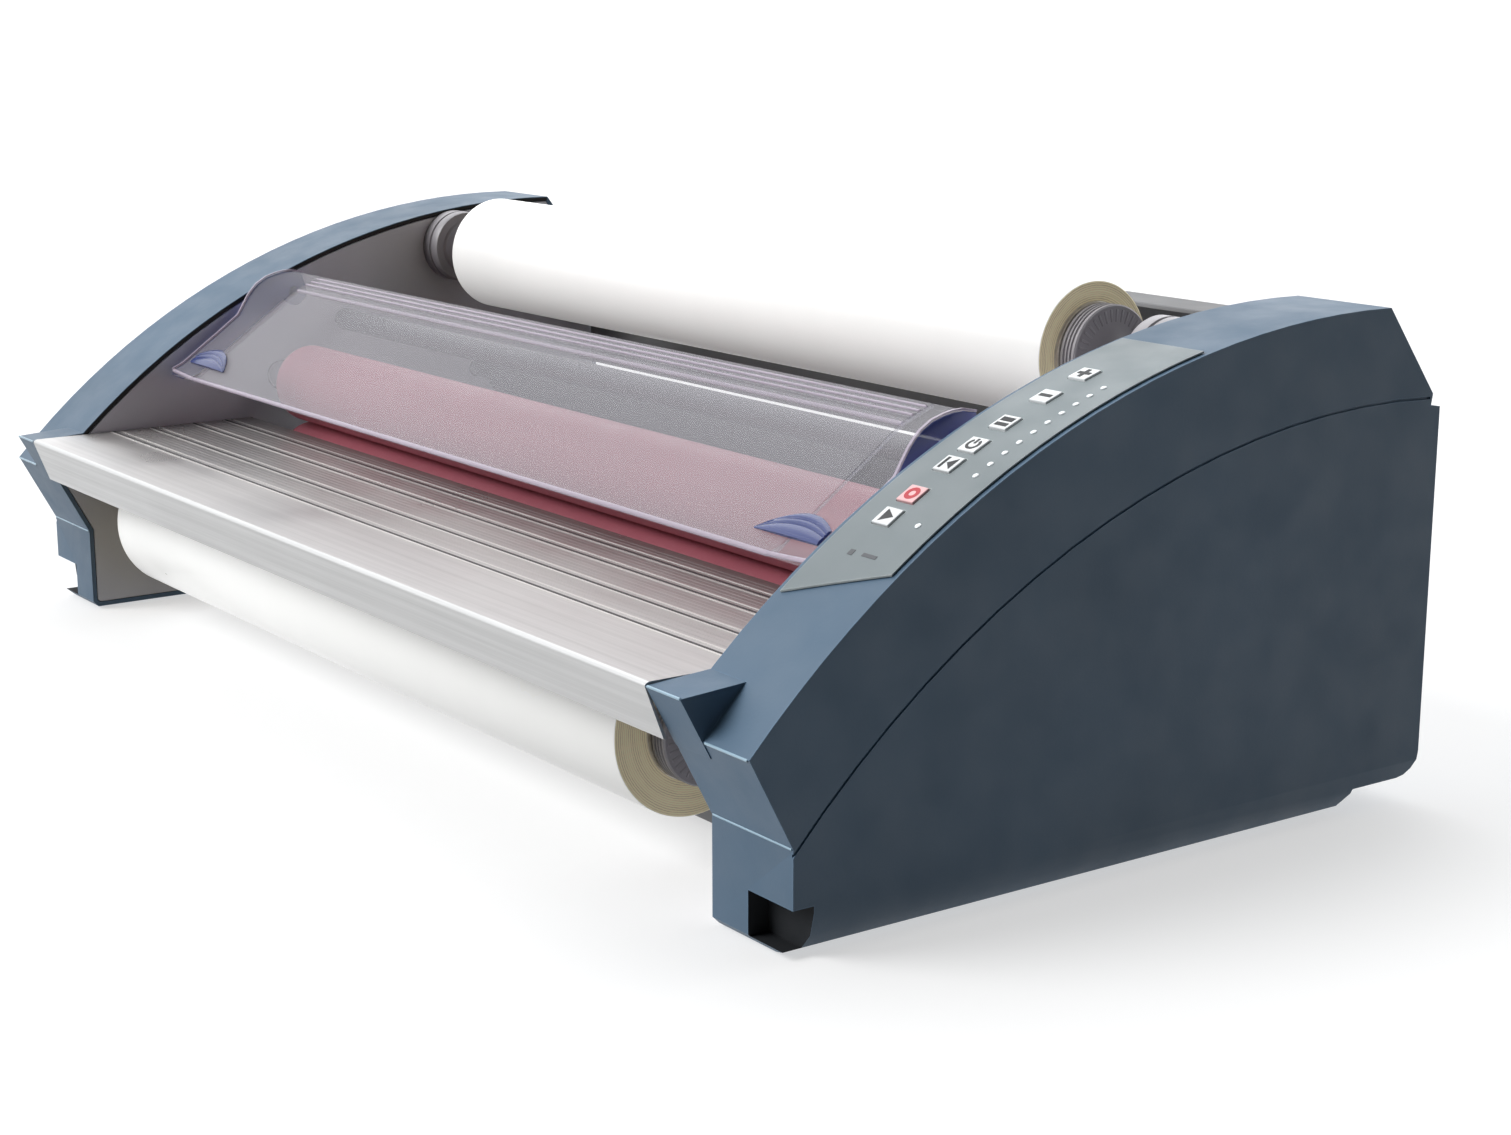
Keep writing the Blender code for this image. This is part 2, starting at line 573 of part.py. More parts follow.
def shield():
    """Clear guard over the rollers, with blue ends that turn up beside the cabinets."""
    origin = (0.0, SHIELD_PIVOT[0], SHIELD_PIVOT[1])
    slope = Vector(SHIELD_BOTTOM) - Vector(SHIELD_KNEE)
    slope.normalize()
    under = Vector((-slope.y, slope.x)) * SHIELD_T
    knee_in = (SHIELD_KNEE[0] + 0.0026, SHIELD_KNEE[1] - 0.0024)
    lip = Vector(SHIELD_BOTTOM) + Vector((-0.0040, 0.0006))
    outline = [(SHIELD_TOP[0], SHIELD_TOP[1] - SHIELD_T), SHIELD_TOP, SHIELD_KNEE,
               SHIELD_BOTTOM, tuple(lip), (lip.x, lip.y - SHIELD_T),
               tuple(Vector(SHIELD_BOTTOM) + under + Vector((0.0, -0.0006))),
               (knee_in[0], knee_in[1] - 0.0008)]
    extruded("safety_shield", outline, -SHIELD_HALF, SHIELD_HALF, "clear_acrylic", origin)

    bottom = Vector(SHIELD_BOTTOM)
    boss = arc_points(SHIELD_PIVOT, 0.010, radians(-150), radians(20), 8)
    below = [(lip.x, lip.y - SHIELD_T), tuple(bottom + under * 2.5),
             tuple(bottom - slope * 0.012 + under * 4.0)] + boss
    outer = [*BRACKET_CREST, *below]
    inner = ([on_panel(point, lip, 0.0) for point in BRACKET_CREST]
             + [on_panel(point, lip, SHIELD_T) for point in below])
    x0 = SHIELD_HALF + GAP
    for side, way in sides():
        bracket = lofted(f"shield_bracket_{side}", inner, way * x0, outer, way * BRACKET_END,
                         "blue_clear", origin)
        pin = rod_profile([(BRACKET_END - 0.010, PIN_R), (INNER_X + FRAME_T - 0.0005, PIN_R)])
        join(bracket, turned(f"shield_pin_{side}", [(way * x, r) for x, r in pin],
                             SHIELD_PIVOT, None, 12))
        base = bottom - under.normalized() * GAP
        tab = [base - slope * 0.0100, base - slope * 0.0280,
               base - slope * 0.0240 - under, base - slope * 0.0120 - under]
        extruded(f"shield_tab_{side}", [tuple(p) for p in tab], way * TAB_X,
                 way * (SHIELD_HALF - GAP), "blue_clear", origin)


# ---------------------------------------------------------------- film supply
def supply(level, axis, film_r, middle):
    """Film wound on its card core, on a mandrel whose chucks grip the core."""
    turned(f"{level}_film_roll",
           tube_profile(middle - FILM_HALF, middle + FILM_HALF, film_r, CORE_R + GAP),
           axis, "white_film", 40)
    core_half = FILM_HALF + 0.0025
    turned(f"{level}_core_tube",
           tube_profile(middle - core_half, middle + core_half, CORE_R, CORE_R - CORE_T),
           axis, "card_core", 28)
    shaft_end = INNER_X - 0.0010
    chuck = [(0.3000, MANDREL_R), (0.3000, CHUCK_R), (core_half + 0.001, CHUCK_R),
             (core_half + 0.001, CHUCK_R + 0.0035), (0.3400, CHUCK_R + 0.0035),
             (0.3430, MANDREL_R)]
    chucks = [(middle + x, radius) for x, radius in mirrored(chuck)]
    shaft = [(-shaft_end, MANDREL_R)] + chucks + [(shaft_end, MANDREL_R)]
    turned(f"{level}_mandrel", rod_profile(shaft), axis, "black_plastic", 24)


# ---------------------------------------------------------------- rollers and drive
def laminating_roller(level, axis, right_end):
    """Hollow steel roller in a silicone sleeve, round a fixed heater rod."""
    tube_half = SLEEVE_HALF + 0.002
    inside = TUBE_R - 0.004
    end_in = tube_half - 0.006
    profile = [(-0.4140, ROLLER_BORE_R), (-0.4140, JOURNAL_R), (-tube_half, JOURNAL_R),
               (-tube_half, TUBE_R), (tube_half, TUBE_R), (tube_half, JOURNAL_R),
               (right_end, JOURNAL_R), (right_end, ROLLER_BORE_R), (end_in, ROLLER_BORE_R),
               (end_in, inside), (-end_in, inside), (-end_in, ROLLER_BORE_R)]
    turned(f"{level}_roller_tube", profile, axis, "bare_steel")
    turned(f"{level}_roller_sleeve",
           tube_profile(-SLEEVE_HALF, SLEEVE_HALF, SLEEVE_R, TUBE_R + GAP), axis,
           "red_silicone", 32)
    turned(f"{level}_heater_rod", rod_profile([(-0.4180, HEATER_R), (right_end + 0.004, HEATER_R)]),
           axis, "satin_metal", 12)


def gear(name, teeth, pitch_r, phase, axis, bore_r):
    wheel = extruded(name, gear_outline(teeth, pitch_r, phase, axis), GEAR_X[0], GEAR_X[1],
                     "black_plastic", (0.0, axis[0], axis[1]))
    if bore_r:
        cut(wheel, extruded(f"{name}_bore", circle_outline(axis, bore_r, 24), GEAR_X[0] - 0.002,
                            GEAR_X[1] + 0.002, None))
    return wheel


def drive():
    """Gear motor, roller gears and the belt that carries the drive to the pull rollers."""
    gear("upper_roller_gear", GEAR_TEETH, GEAR_PITCH_R, -pi / 2 + pi / GEAR_TEETH, UPPER_AXIS,
         JOURNAL_R + GAP)
    gear("lower_roller_gear", GEAR_TEETH, GEAR_PITCH_R, pi / 2, LOWER_AXIS, JOURNAL_R + GAP)
    gear("motor_pinion", PINION_TEETH, PINION_PITCH_R, PINION_ANGLE + pi + pi / PINION_TEETH,
         PINION_AXIS, 0.0)
    turned("lower_roller_pulley",
           tube_profile(BELT_X[0] - 0.0005, BELT_X[1] + 0.0005, HEAT_PULLEY_R, JOURNAL_R + GAP),
           LOWER_AXIS, "black_plastic")
    slack = GAP
    outer = belt_outline(LOWER_AXIS, HEAT_PULLEY_R + slack + BELT_T, LOWER_PULL,
                         PULL_PULLEY_R + slack + BELT_T)
    inner = belt_outline(LOWER_AXIS, HEAT_PULLEY_R + slack, LOWER_PULL, PULL_PULLEY_R + slack)
    belt = extruded("drive_belt", outer, BELT_X[0], BELT_X[1], "rubber")
    cut(belt, extruded("belt_inside", inner, BELT_X[0] - 0.002, BELT_X[1] + 0.002, None))
    motor = box("gear_motor", (0.4235, -0.0480, 0.0480), (0.4545, 0.0020, 0.0775),
                "satin_metal")
    mesh = bmesh.new()
    bmesh.ops.create_cone(mesh, cap_ends=True, segments=24, radius1=0.0190, radius2=0.0190,
                          depth=0.1000,
                          matrix=Matrix.Translation((0.4350, 0.0450, 0.0580))
                          @ Matrix.Rotation(pi / 2, 4, "X"))
    join(motor, finish("motor_can", mesh, None))


def pull_rollers():
    """Rear pair that draws the laminate out; the lower one carries the belt pulley."""
    half = [(0.3450, PULL_R), (0.3450, PULL_JOURNAL_R), (0.4120, PULL_JOURNAL_R)]
    turned("upper_pull_roller", rod_profile(mirrored(half)), UPPER_PULL, "rubber")
    left = [(-x, radius) for x, radius in reversed(half)]
    right = [(0.3450, PULL_R), (0.3450, PULL_JOURNAL_R), (BELT_X[0] - 0.0005, PULL_JOURNAL_R),
             (BELT_X[0] - 0.0005, PULL_PULLEY_R), (BELT_X[1] + 0.0005, PULL_PULLEY_R)]
    turned("lower_pull_roller", rod_profile(left + right), LOWER_PULL, "rubber")


def idlers():
    half = [(INNER_X - 0.0030, IDLER_R), (INNER_X - 0.0030, IDLER_PIN_R),
            (INNER_X + FRAME_T, IDLER_PIN_R)]
    for level, axis in (("upper", UPPER_IDLER), ("lower", LOWER_IDLER)):
        turned(f"{level}_idler_bar", rod_profile(mirrored(half)), axis, "bare_steel", 20)


def build():
    clear_scene()
    chassis()
    power_entry()
    feed_table()
    shield()
    supply("upper", UPPER_FILM, UPPER_FILM_R, 0.0)
    supply("lower", LOWER_FILM, LOWER_FILM_R, LOWER_MIDDLE)
    laminating_roller("upper", UPPER_AXIS, GEAR_X[1] + 0.001)
    laminating_roller("lower", LOWER_AXIS, BELT_X[1] + 0.002)
    drive()
    pull_rollers()
    idlers()


build()
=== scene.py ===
"""Looks of a desktop roll laminator, built round its fixed frame.

Metres, +Z up, +X along the rollers towards the control side, infeed at -Y.
"""
import random
from math import acos, cos, pi, radians, sin

import bmesh
import bpy
from mathutils import Matrix, Vector


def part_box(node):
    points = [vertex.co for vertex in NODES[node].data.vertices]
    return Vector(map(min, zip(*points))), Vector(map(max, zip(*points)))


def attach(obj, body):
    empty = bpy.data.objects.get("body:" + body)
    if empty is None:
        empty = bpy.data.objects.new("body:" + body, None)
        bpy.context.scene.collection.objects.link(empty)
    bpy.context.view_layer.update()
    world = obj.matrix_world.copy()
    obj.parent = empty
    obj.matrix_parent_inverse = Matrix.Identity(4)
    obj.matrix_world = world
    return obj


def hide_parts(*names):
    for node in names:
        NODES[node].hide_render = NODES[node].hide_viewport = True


bl_info = {
    "name": "Roll laminator looks",
    "version": (1, 0, 0),
    "blender": (4, 5, 0),
    "location": "View3D > Sidebar > Laminator",
    "description": "Builds the visible pieces and finishes of a desktop roll laminator",
    "category": "Object",
}

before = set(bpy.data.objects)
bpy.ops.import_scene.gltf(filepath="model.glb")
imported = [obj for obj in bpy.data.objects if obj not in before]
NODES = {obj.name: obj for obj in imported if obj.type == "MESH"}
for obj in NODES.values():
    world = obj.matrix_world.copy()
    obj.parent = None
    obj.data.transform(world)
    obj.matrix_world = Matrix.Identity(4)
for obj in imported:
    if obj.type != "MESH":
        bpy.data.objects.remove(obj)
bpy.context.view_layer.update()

# ---------------------------------------------------------------- shared places
ARC_CENTRE = (0.1784, -0.2701)      # top arc of the end cabinets, as (y, z)
ARC_R = 0.5485
PANEL_LIFT = 0.0013                 # top of the control overlay above the arc
KEY_LIFT = 0.0023                   # top of a key above the arc
KEY_X = 0.4205
MARK_BED = 0.00018                  # how far a key's mark is let into it
PRINT_BED = 0.00008                 # how far a printed mark is let into the overlay
TABLE_TOP = 0.1285
TABLE_FRONT = (-0.2345, 0.1270)
TABLE_LIP = (-0.2239, 0.0990)
TABLE_BACK_Y = -0.0680
TABLE_LINES = (-0.1757, -0.1467, -0.1145, -0.0895)
GUARD_TOP = (-0.0278, 0.2338)
GUARD_KNEE = (-0.0480, 0.2262)
GUARD_BOTTOM = (-0.1285, 0.1690)
GUARD_T = 0.0030
GUARD_TAB = (0.3220, 0.3760)        # inner and outer end of a finger tab along X
GUARD_END = 0.3845                  # outer face of the guard's upturned ends
GUARD_CREST = ((-0.0278, 0.2338), (-0.0363, 0.2354), (-0.0425, 0.2352), (-0.0480, 0.2342),
               (-0.0560, 0.2318), (-0.0631, 0.2275), (-0.0668, 0.2239), (-0.0701, 0.2199),
               (-0.0748, 0.2126), (-0.0789, 0.2058), (-0.0960, 0.1934), (-0.1240, 0.1738),
               (-0.1318, 0.1704))   # top edge of an upturned end
CABINET_HIGHLIGHTS = (                   # painted highlight lines on the nose, crease and beak-tip edges: place (y, z), and reach along X
    ((-0.2217, 0.1044), (0.4250, 0.4585)), ((-0.1970, 0.0576), (0.3955, 0.4590)),
    ((-0.2338, 0.1268), (0.3955, 0.4225)))
RECESS = ((0.4240, 0.4610), (-0.1967, -0.1840), (0.0042, 0.0284))   # hand recess, X, Y, Z; faces inside it get a near-black finish as painted shade
KEYS = {                            # key: (place along Y, icon)
    "run_button": (-0.1117, "play"),
    "stop_button": (-0.0967, "ring"),
    "reverse_button": (-0.0744, "back"),
    "standby_button": (-0.0591, "power"),
    "mode_button": (-0.0393, "frame"),
    "slower_button": (-0.0132, "minus"),
    "faster_button": (0.0122, "plus"),
}
LAMP_X = 0.4435
LAMP_ROW = (-0.0773, 0.0036, 10)    # first and last indicator along Y, and how many
LONE_LAMP_Y = -0.1121               # the one that stands apart from the row
GAP_SHADE_SPAN = (-0.2045, 0.1905)       # first and last Y of the dark strip of painted gap shade under the top arc
BEAD_R = {"edge": 0.0007, "knee": 0.0013, "flange": 0.0007, "foot": 0.0016, "corner": 0.0014}


# ---------------------------------------------------------------- shape helpers
def arc_place(y, lift):
    """Point and facing of the cabinets' top arc at a given Y."""
    angle = acos((y - ARC_CENTRE[0]) / ARC_R)
    radius = ARC_R + lift
    point = (ARC_CENTRE[0] + radius * cos(angle), ARC_CENTRE[1] + radius * sin(angle))
    return point, (0.0, cos(angle), sin(angle))


def filleted(points, radius, steps=3, closed=True):
    """Polyline with its corners rounded."""
    out = []
    count = len(points)
    for k, here in enumerate(points):
        if not closed and k in (0, count - 1):
            out.append(tuple(here))
            continue
        here = Vector(here)
        before = Vector(points[k - 1]) - here
        after = Vector(points[(k + 1) % count]) - here
        cut = min(radius, before.length * 0.45, after.length * 0.45)
        start = here + before.normalized() * cut
        end = here + after.normalized() * cut
        for step in range(steps + 1):
            t = step / steps
            out.append(tuple(start * (1 - t) ** 2 + here * 2 * t * (1 - t) + end * t ** 2))
    return out


def ribbon(path, thickness):
    """Closed outline of a strip that has the path as its outer side."""
    inner = []
    last = len(path) - 1
    for k, here in enumerate(path):
        here = Vector(here)
        way_in = (here - Vector(path[k - 1])).normalized() if k else None
        way_out = (Vector(path[k + 1]) - here).normalized() if k < last else None
        way_in, way_out = way_in or way_out, way_out or way_in
        side_in = Vector((-way_in.y, way_in.x))
        side_out = Vector((-way_out.y, way_out.x))
        middle = side_in + side_out
        inner.append(tuple(here + middle * (2 * thickness / middle.length_squared)))
    return list(path) + inner[::-1]


def linked(name, mesh):
    made = bpy.data.objects.new(name, mesh)
    bpy.context.scene.collection.objects.link(made)
    return made


def shaped(name, mesh, smooth_angle=35.0):
    """Object from a finished bmesh, its faces turned outwards."""
    bmesh.ops.recalc_face_normals(mesh, faces=mesh.faces)
    data = bpy.data.meshes.new(name)
    mesh.to_mesh(data)
    mesh.free()
    data.shade_smooth()
    data.set_sharp_from_angle(angle=radians(smooth_angle))
    return linked(name, data)


def extruded(name, outline, x0, x1, smooth_angle=35.0):
    """Outline in the YZ plane, pushed along X."""
    mesh = bmesh.new()
    face = mesh.faces.new([mesh.verts.new((x0, y, z)) for y, z in outline])
    pushed = bmesh.ops.extrude_face_region(mesh, geom=[face])
    moved = [part for part in pushed["geom"] if isinstance(part, bmesh.types.BMVert)]
    bmesh.ops.translate(mesh, verts=moved, vec=(x1 - x0, 0.0, 0.0))
    return shaped(name, mesh, smooth_angle)


def turned(name, profile, axis, steps=72, smooth_angle=35.0):
    """Profile of (x, radius) points turned about a line along X through (y, z)."""
    mesh = bmesh.new()
    verts = [mesh.verts.new((x, 0.0, radius)) for x, radius in profile]
    edges = [mesh.edges.new(pair) for pair in zip(verts, verts[1:])]
    if min(radius for x, radius in profile) > 0.0:
        edges.append(mesh.edges.new((verts[-1], verts[0])))
    bmesh.ops.spin(mesh, geom=verts + edges, cent=(0, 0, 0), axis=(1, 0, 0), dvec=(0, 0, 0),
                   angle=2 * pi, steps=steps, use_duplicate=False)
    bmesh.ops.remove_doubles(mesh, verts=mesh.verts, dist=0.00001)
    bmesh.ops.translate(mesh, verts=mesh.verts, vec=(0.0, axis[0], axis[1]))
    return shaped(name, mesh, smooth_angle)


def rod(half, radius, edge=0.0006):
    """Profile of a plain round bar with softened ends."""
    return filleted([(-half, 0.0), (-half, radius), (half, radius), (half, 0.0)], edge,
                    closed=False)


def beam(name, start, end, radius):
    """Round bar between two points."""
    start, end = Vector(start), Vector(end)
    mesh = bmesh.new()
    bmesh.ops.create_cone(mesh, cap_ends=True, segments=16, radius1=radius, radius2=radius,
                          depth=(end - start).length)
    turn = (end - start).to_track_quat("Z", "Y").to_matrix().to_4x4()
    bmesh.ops.transform(mesh, verts=mesh.verts, matrix=turn)
    bmesh.ops.translate(mesh, verts=mesh.verts, vec=(start + end) / 2)
    return shaped(name, mesh)


def tube(x0, x1, outer, inner, edge=0.0005):
    return filleted([(x0, inner), (x0, outer), (x1, outer), (x1, inner)], edge)


def settled(piece):
    """Turn a piece's modifiers into plain mesh."""
    graph = bpy.context.evaluated_depsgraph_get()
    mesh = bpy.data.meshes.new_from_object(piece.evaluated_get(graph))
    piece.modifiers.clear()
    piece.data = mesh
    return piece


def rounded(piece, width, segments=2, angle=30.0):
    """Soften a piece's edges and keep its flat faces looking flat."""
    change = piece.modifiers.new("soft_edges", "BEVEL")
    change.width = width
    change.segments = segments
    change.limit_method = "ANGLE"
    change.angle_limit = radians(angle)
    change.miter_outer = "MITER_ARC"
    even = piece.modifiers.new("even_shading", "WEIGHTED_NORMAL")
    even.keep_sharp = True
    return settled(piece)


def copied(node, name, merge=0.00001, flat=0.6):
    """Clean copy of a fixed part: doubles merged and flat faces joined."""
    mesh = bmesh.new()
    mesh.from_mesh(NODES[node].data)
    bmesh.ops.remove_doubles(mesh, verts=mesh.verts, dist=merge)
    bmesh.ops.dissolve_limit(mesh, angle_limit=radians(flat), verts=mesh.verts,
                             edges=mesh.edges)
    data = bpy.data.meshes.new(name)
    mesh.to_mesh(data)
    mesh.free()
    data.shade_smooth()
    data.set_sharp_from_angle(angle=radians(60))
    return linked(name, data)


def mount(piece, body, finish_name, slot, *nodes):
    """Give a piece its finish, its body and the fixed parts it stands for; its slot is not
    used.
    """
    if finish_name:
        piece.data.materials.clear()
        piece.data.materials.append(finish(finish_name))
    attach(piece, body)
    if nodes:
        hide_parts(*nodes)
    return piece


def axis_of(node):
    low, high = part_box(node)
    return ((low.y + high.y) / 2, (low.z + high.z) / 2)


def radius_of(node):
    low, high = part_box(node)
    return (high.z - low.z) / 2


def sides():
    return (("left", -1.0), ("right", 1.0))


# ---------------------------------------------------------------- finishes
class Maker:
    """A material being made, with short ways of adding nodes to it."""

    def __init__(self, name, colour, roughness, metallic=0.0, **values):
        self.made = bpy.data.materials.new(name)
        self.made.use_nodes = True
        self.tree = self.made.node_tree
        self.shader = self.tree.nodes["Principled BSDF"]
        self.place = self.node("ShaderNodeTexCoord").outputs["Object"]
        self.normal = None
        self.colour = tuple(colour)
        self.shader.inputs["Base Color"].default_value = (*colour, 1.0)
        self.shader.inputs["Roughness"].default_value = roughness
        self.shader.inputs["Metallic"].default_value = metallic
        for key, value in values.items():
            self.shader.inputs[key.replace("_", " ")].default_value = value

    def node(self, kind, inputs=None, **settings):
        made = self.tree.nodes.new(kind)
        for key, value in settings.items():
            setattr(made, key, value)
        for key, value in (inputs or {}).items():
            if isinstance(value, bpy.types.NodeSocket):
                self.tree.links.new(value, made.inputs[key])
            else:
                made.inputs[key].default_value = value
        return made

    def mapped(self, stretch=(1, 1, 1), shift=(0, 0, 0)):
        return self.node("ShaderNodeMapping", {"Vector": self.place, "Scale": stretch,
                                               "Location": shift}).outputs["Vector"]

    def noise(self, scale, stretch=(1, 1, 1), detail=3.0, rough=0.5):
        return self.node("ShaderNodeTexNoise", {
            "Vector": self.mapped(stretch), "Scale": scale, "Detail": detail,
            "Roughness": rough}).outputs["Fac"]

    def rings(self, axis, scale, distortion=0.0):
        """Rings round a line along X through axis (y, z)."""
        return self.node("ShaderNodeTexWave", {
            "Vector": self.mapped(shift=(0.0, -axis[0], -axis[1])), "Scale": scale,
            "Distortion": distortion, "Detail": 2.0, "Detail Scale": 2.0},
            wave_type="RINGS", rings_direction="X").outputs["Fac"]

    def spread(self, value, low, high, from_low=0.3, from_high=0.7):
        return self.node("ShaderNodeMapRange", {
            "Value": value, "From Min": from_low, "From Max": from_high,
            "To Min": low, "To Max": high}).outputs["Result"]

    def blend(self, factor, first, second, kind="MIX"):
        """Two colours mixed by a factor; each is a socket or a colour."""
        mixed = self.node("ShaderNodeMix", data_type="RGBA", blend_type=kind)
        for key, value in ((0, factor), (6, first), (7, second)):
            if isinstance(value, bpy.types.NodeSocket):
                self.tree.links.new(value, mixed.inputs[key])
            elif key:
                mixed.inputs[key].default_value = (*value[:3], 1.0)
            else:
                mixed.inputs[key].default_value = value
        return mixed.outputs[2]

    def paint(self, socket):
        self.tree.links.new(socket, self.shader.inputs["Base Color"])

    def polish(self, socket):
        self.tree.links.new(socket, self.shader.inputs["Roughness"])

    def relief(self, height, depth, strength=1.0):
        inputs = {"Height": height, "Distance": depth, "Strength": strength}
        if self.normal:
            inputs["Normal"] = self.normal
        self.normal = self.node("ShaderNodeBump", inputs).outputs["Normal"]
        self.tree.links.new(self.normal, self.shader.inputs["Normal"])

    def varied(self, amount=0.12, scale=7.0, stretch=(1, 1, 1)):
        """Base colour that drifts a little darker and lighter over the piece."""
        dark = [part * (1 - amount) for part in self.colour]
        light = [min(1.0, part * (1 + amount)) for part in self.colour]
        drift = self.spread(self.noise(scale, stretch), 0.0, 1.0)
        socket = self.blend(drift, dark, light)
        self.paint(socket)
        return socket

    def edges(self, radius, sharp=0.985, wear_and_glint=0.86):
        """How close a point is to an edge, 0 to 1."""
        soft = self.node("ShaderNodeBevel", {"Radius": radius}, samples=4).outputs["Normal"]
        plain = self.node("ShaderNodeNewGeometry").outputs["Normal"]
        bend = self.node("ShaderNodeVectorMath", {0: soft, 1: plain}, operation="DOT_PRODUCT")
        return self.spread(bend.outputs["Value"], 0.0, 1.0, sharp, wear_and_glint)


def moulded(name, colour, roughness, grain=520.0, depth=0.00012, edge=None):
    """Moulded plastic: fine spark-eroded grain, slow drift of colour, lighter edges that are
    partly wear and partly painted highlight.
    """
    made = Maker(name, colour, roughness, Specular_IOR_Level=0.45)
    drift = made.varied(0.10)
    if edge:
        wear_and_glint = made.node("ShaderNodeMath", {0: made.edges(0.0012), 1: made.spread(
            made.noise(60.0), 0.25, 0.75)}, operation="MULTIPLY").outputs["Value"]
        made.paint(made.blend(wear_and_glint, drift, edge))
    made.polish(made.spread(made.noise(38.0, detail=5.0), roughness - 0.07, roughness + 0.09))
    made.relief(made.noise(grain, detail=2.0), depth, 0.35)
    return made.made


def brushed(name, colour, roughness, metallic, along=(3.0, 260.0, 260.0), depth=0.00006):
    """Rolled or brushed metal, its fine lines along X unless told otherwise."""
    made = Maker(name, colour, roughness, metallic)
    lines = made.noise(1.0, along, detail=4.0, rough=0.65)
    dark = [part * 0.86 for part in colour]
    light = [min(1.0, part * 1.08) for part in colour]
    made.paint(made.blend(made.spread(lines, 0.0, 1.0), dark, light))
    smudge = made.noise(9.0, detail=5.0)
    made.polish(made.spread(smudge, roughness - 0.06, roughness + 0.10))
    made.relief(lines, depth, 0.5)
    return made.made


def film_finish(name, colour):
    """White film: faint winding lines round the roll, hardly any relief."""
    made = Maker(name, colour, 0.34, Specular_IOR_Level=0.45)
    winding = made.noise(1.0, (170.0, 2.0, 2.0), detail=3.0, rough=0.5)
    shade = [part * 0.975 for part in colour]
    made.paint(made.blend(made.spread(winding, 0.0, 1.0, 0.35, 0.65), shade, colour))
    made.polish(made.spread(made.noise(14.0, detail=4.0), 0.26, 0.42))
    made.relief(winding, 0.00003, 0.3)
    # Painted light: the film glows faintly by itself, though it is no lamp, which keeps it
    # bright in shade.
    made.shader.inputs["Emission Color"].default_value = (1.0, 0.995, 0.98, 1.0)
    made.shader.inputs["Emission Strength"].default_value = 0.24
    return made.made


def film_end_finish(name, colour, node):
    """Ends of the wound film: thin cream and tan layers round the core."""
    made = Maker(name, colour, 0.55, Specular_IOR_Level=0.35)
    rings = made.rings(axis_of(node), 260.0, 1.5)
    broad = made.rings(axis_of(node), 42.0, 3.0)
    pale = [min(1.0, part * 1.25) for part in colour]
    deep = [part * 0.86 for part in colour]
    layers = made.blend(made.spread(rings, 0.0, 1.0, 0.2, 0.8), deep, pale)
    shade = made.blend(made.spread(broad, 0.0, 0.45, 0.1, 0.9), layers, pale)
    made.paint(shade)
    # Painted light: the wound ends glow faintly in their own colour, which lifts them where
    # they are in shade.
    made.tree.links.new(shade, made.shader.inputs["Emission Color"])
    made.shader.inputs["Emission Strength"].default_value = 0.10
    made.relief(rings, 0.00003, 0.3)
    return made.made


def silicone(name, colour):
    made = Maker(name, colour, 0.46, Specular_IOR_Level=0.4)
    drift = made.varied(0.10, 5.0, (0.6, 2.0, 2.0))
    dust = made.spread(made.noise(170.0, detail=6.0, rough=0.7), 0.0, 0.08, 0.52, 0.78)
    made.paint(made.blend(dust, drift, (0.75, 0.55, 0.52)))
    made.polish(made.spread(made.noise(22.0, detail=4.0), 0.38, 0.56))
    made.relief(made.noise(700.0, detail=2.0), 0.00008, 0.3)
    return made.made


def clear(name, colour, alpha, roughness, gloss=0.6):
    """Clear sheet with a slight haze and hairline scratches along X."""
    made = Maker(name, colour, roughness, Alpha=alpha, IOR=1.49, Specular_IOR_Level=gloss)
    haze = made.noise(5.0, (0.5, 2.0, 2.0), detail=3.0)
    made.paint(made.blend(made.spread(haze, 0.0, 1.0), [part * 0.92 for part in colour],
                          colour))
    hairs = made.noise(1.0, (12.0, 700.0, 700.0), detail=2.0, rough=0.7)
    made.polish(made.spread(hairs, roughness, roughness + 0.10, 0.45, 0.7))
    made.relief(hairs, 0.00002, 0.2)
    return made.made


def board(name, colour):
    made = Maker(name, colour, 0.35)
    tracks = made.node("ShaderNodeTexBrick", {
        "Vector": made.mapped((1.0, 1.0, 0.0)), "Scale": 260.0, "Mortar Size": 0.05,
        "Color1": (*colour, 1.0), "Color2": (0.01, 0.12, 0.04, 1.0),
        "Mortar": (0.25, 0.22, 0.08, 1.0)}).outputs["Color"]
    made.paint(tracks)
    made.relief(made.noise(300.0), 0.0001, 0.3)
    return made.made


def card(name, colour):
    made = Maker(name, colour, 0.85, Specular_IOR_Level=0.2)
    made.varied(0.22, 160.0, (3.0, 1.0, 1.0))
    made.relief(made.noise(420.0, detail=5.0), 0.0002, 0.6)
    return made.made


def studio(name, colour, glow):
    """Pale floor, partly lit from below as a light table is, which keeps shadows soft."""
    made = Maker(name, colour, 0.75, Specular_IOR_Level=0.1, Emission_Strength=glow,
                 Emission_Color=(1.0, 1.0, 1.0, 1.0))
    made.varied(0.006, 0.8)
    return made.made


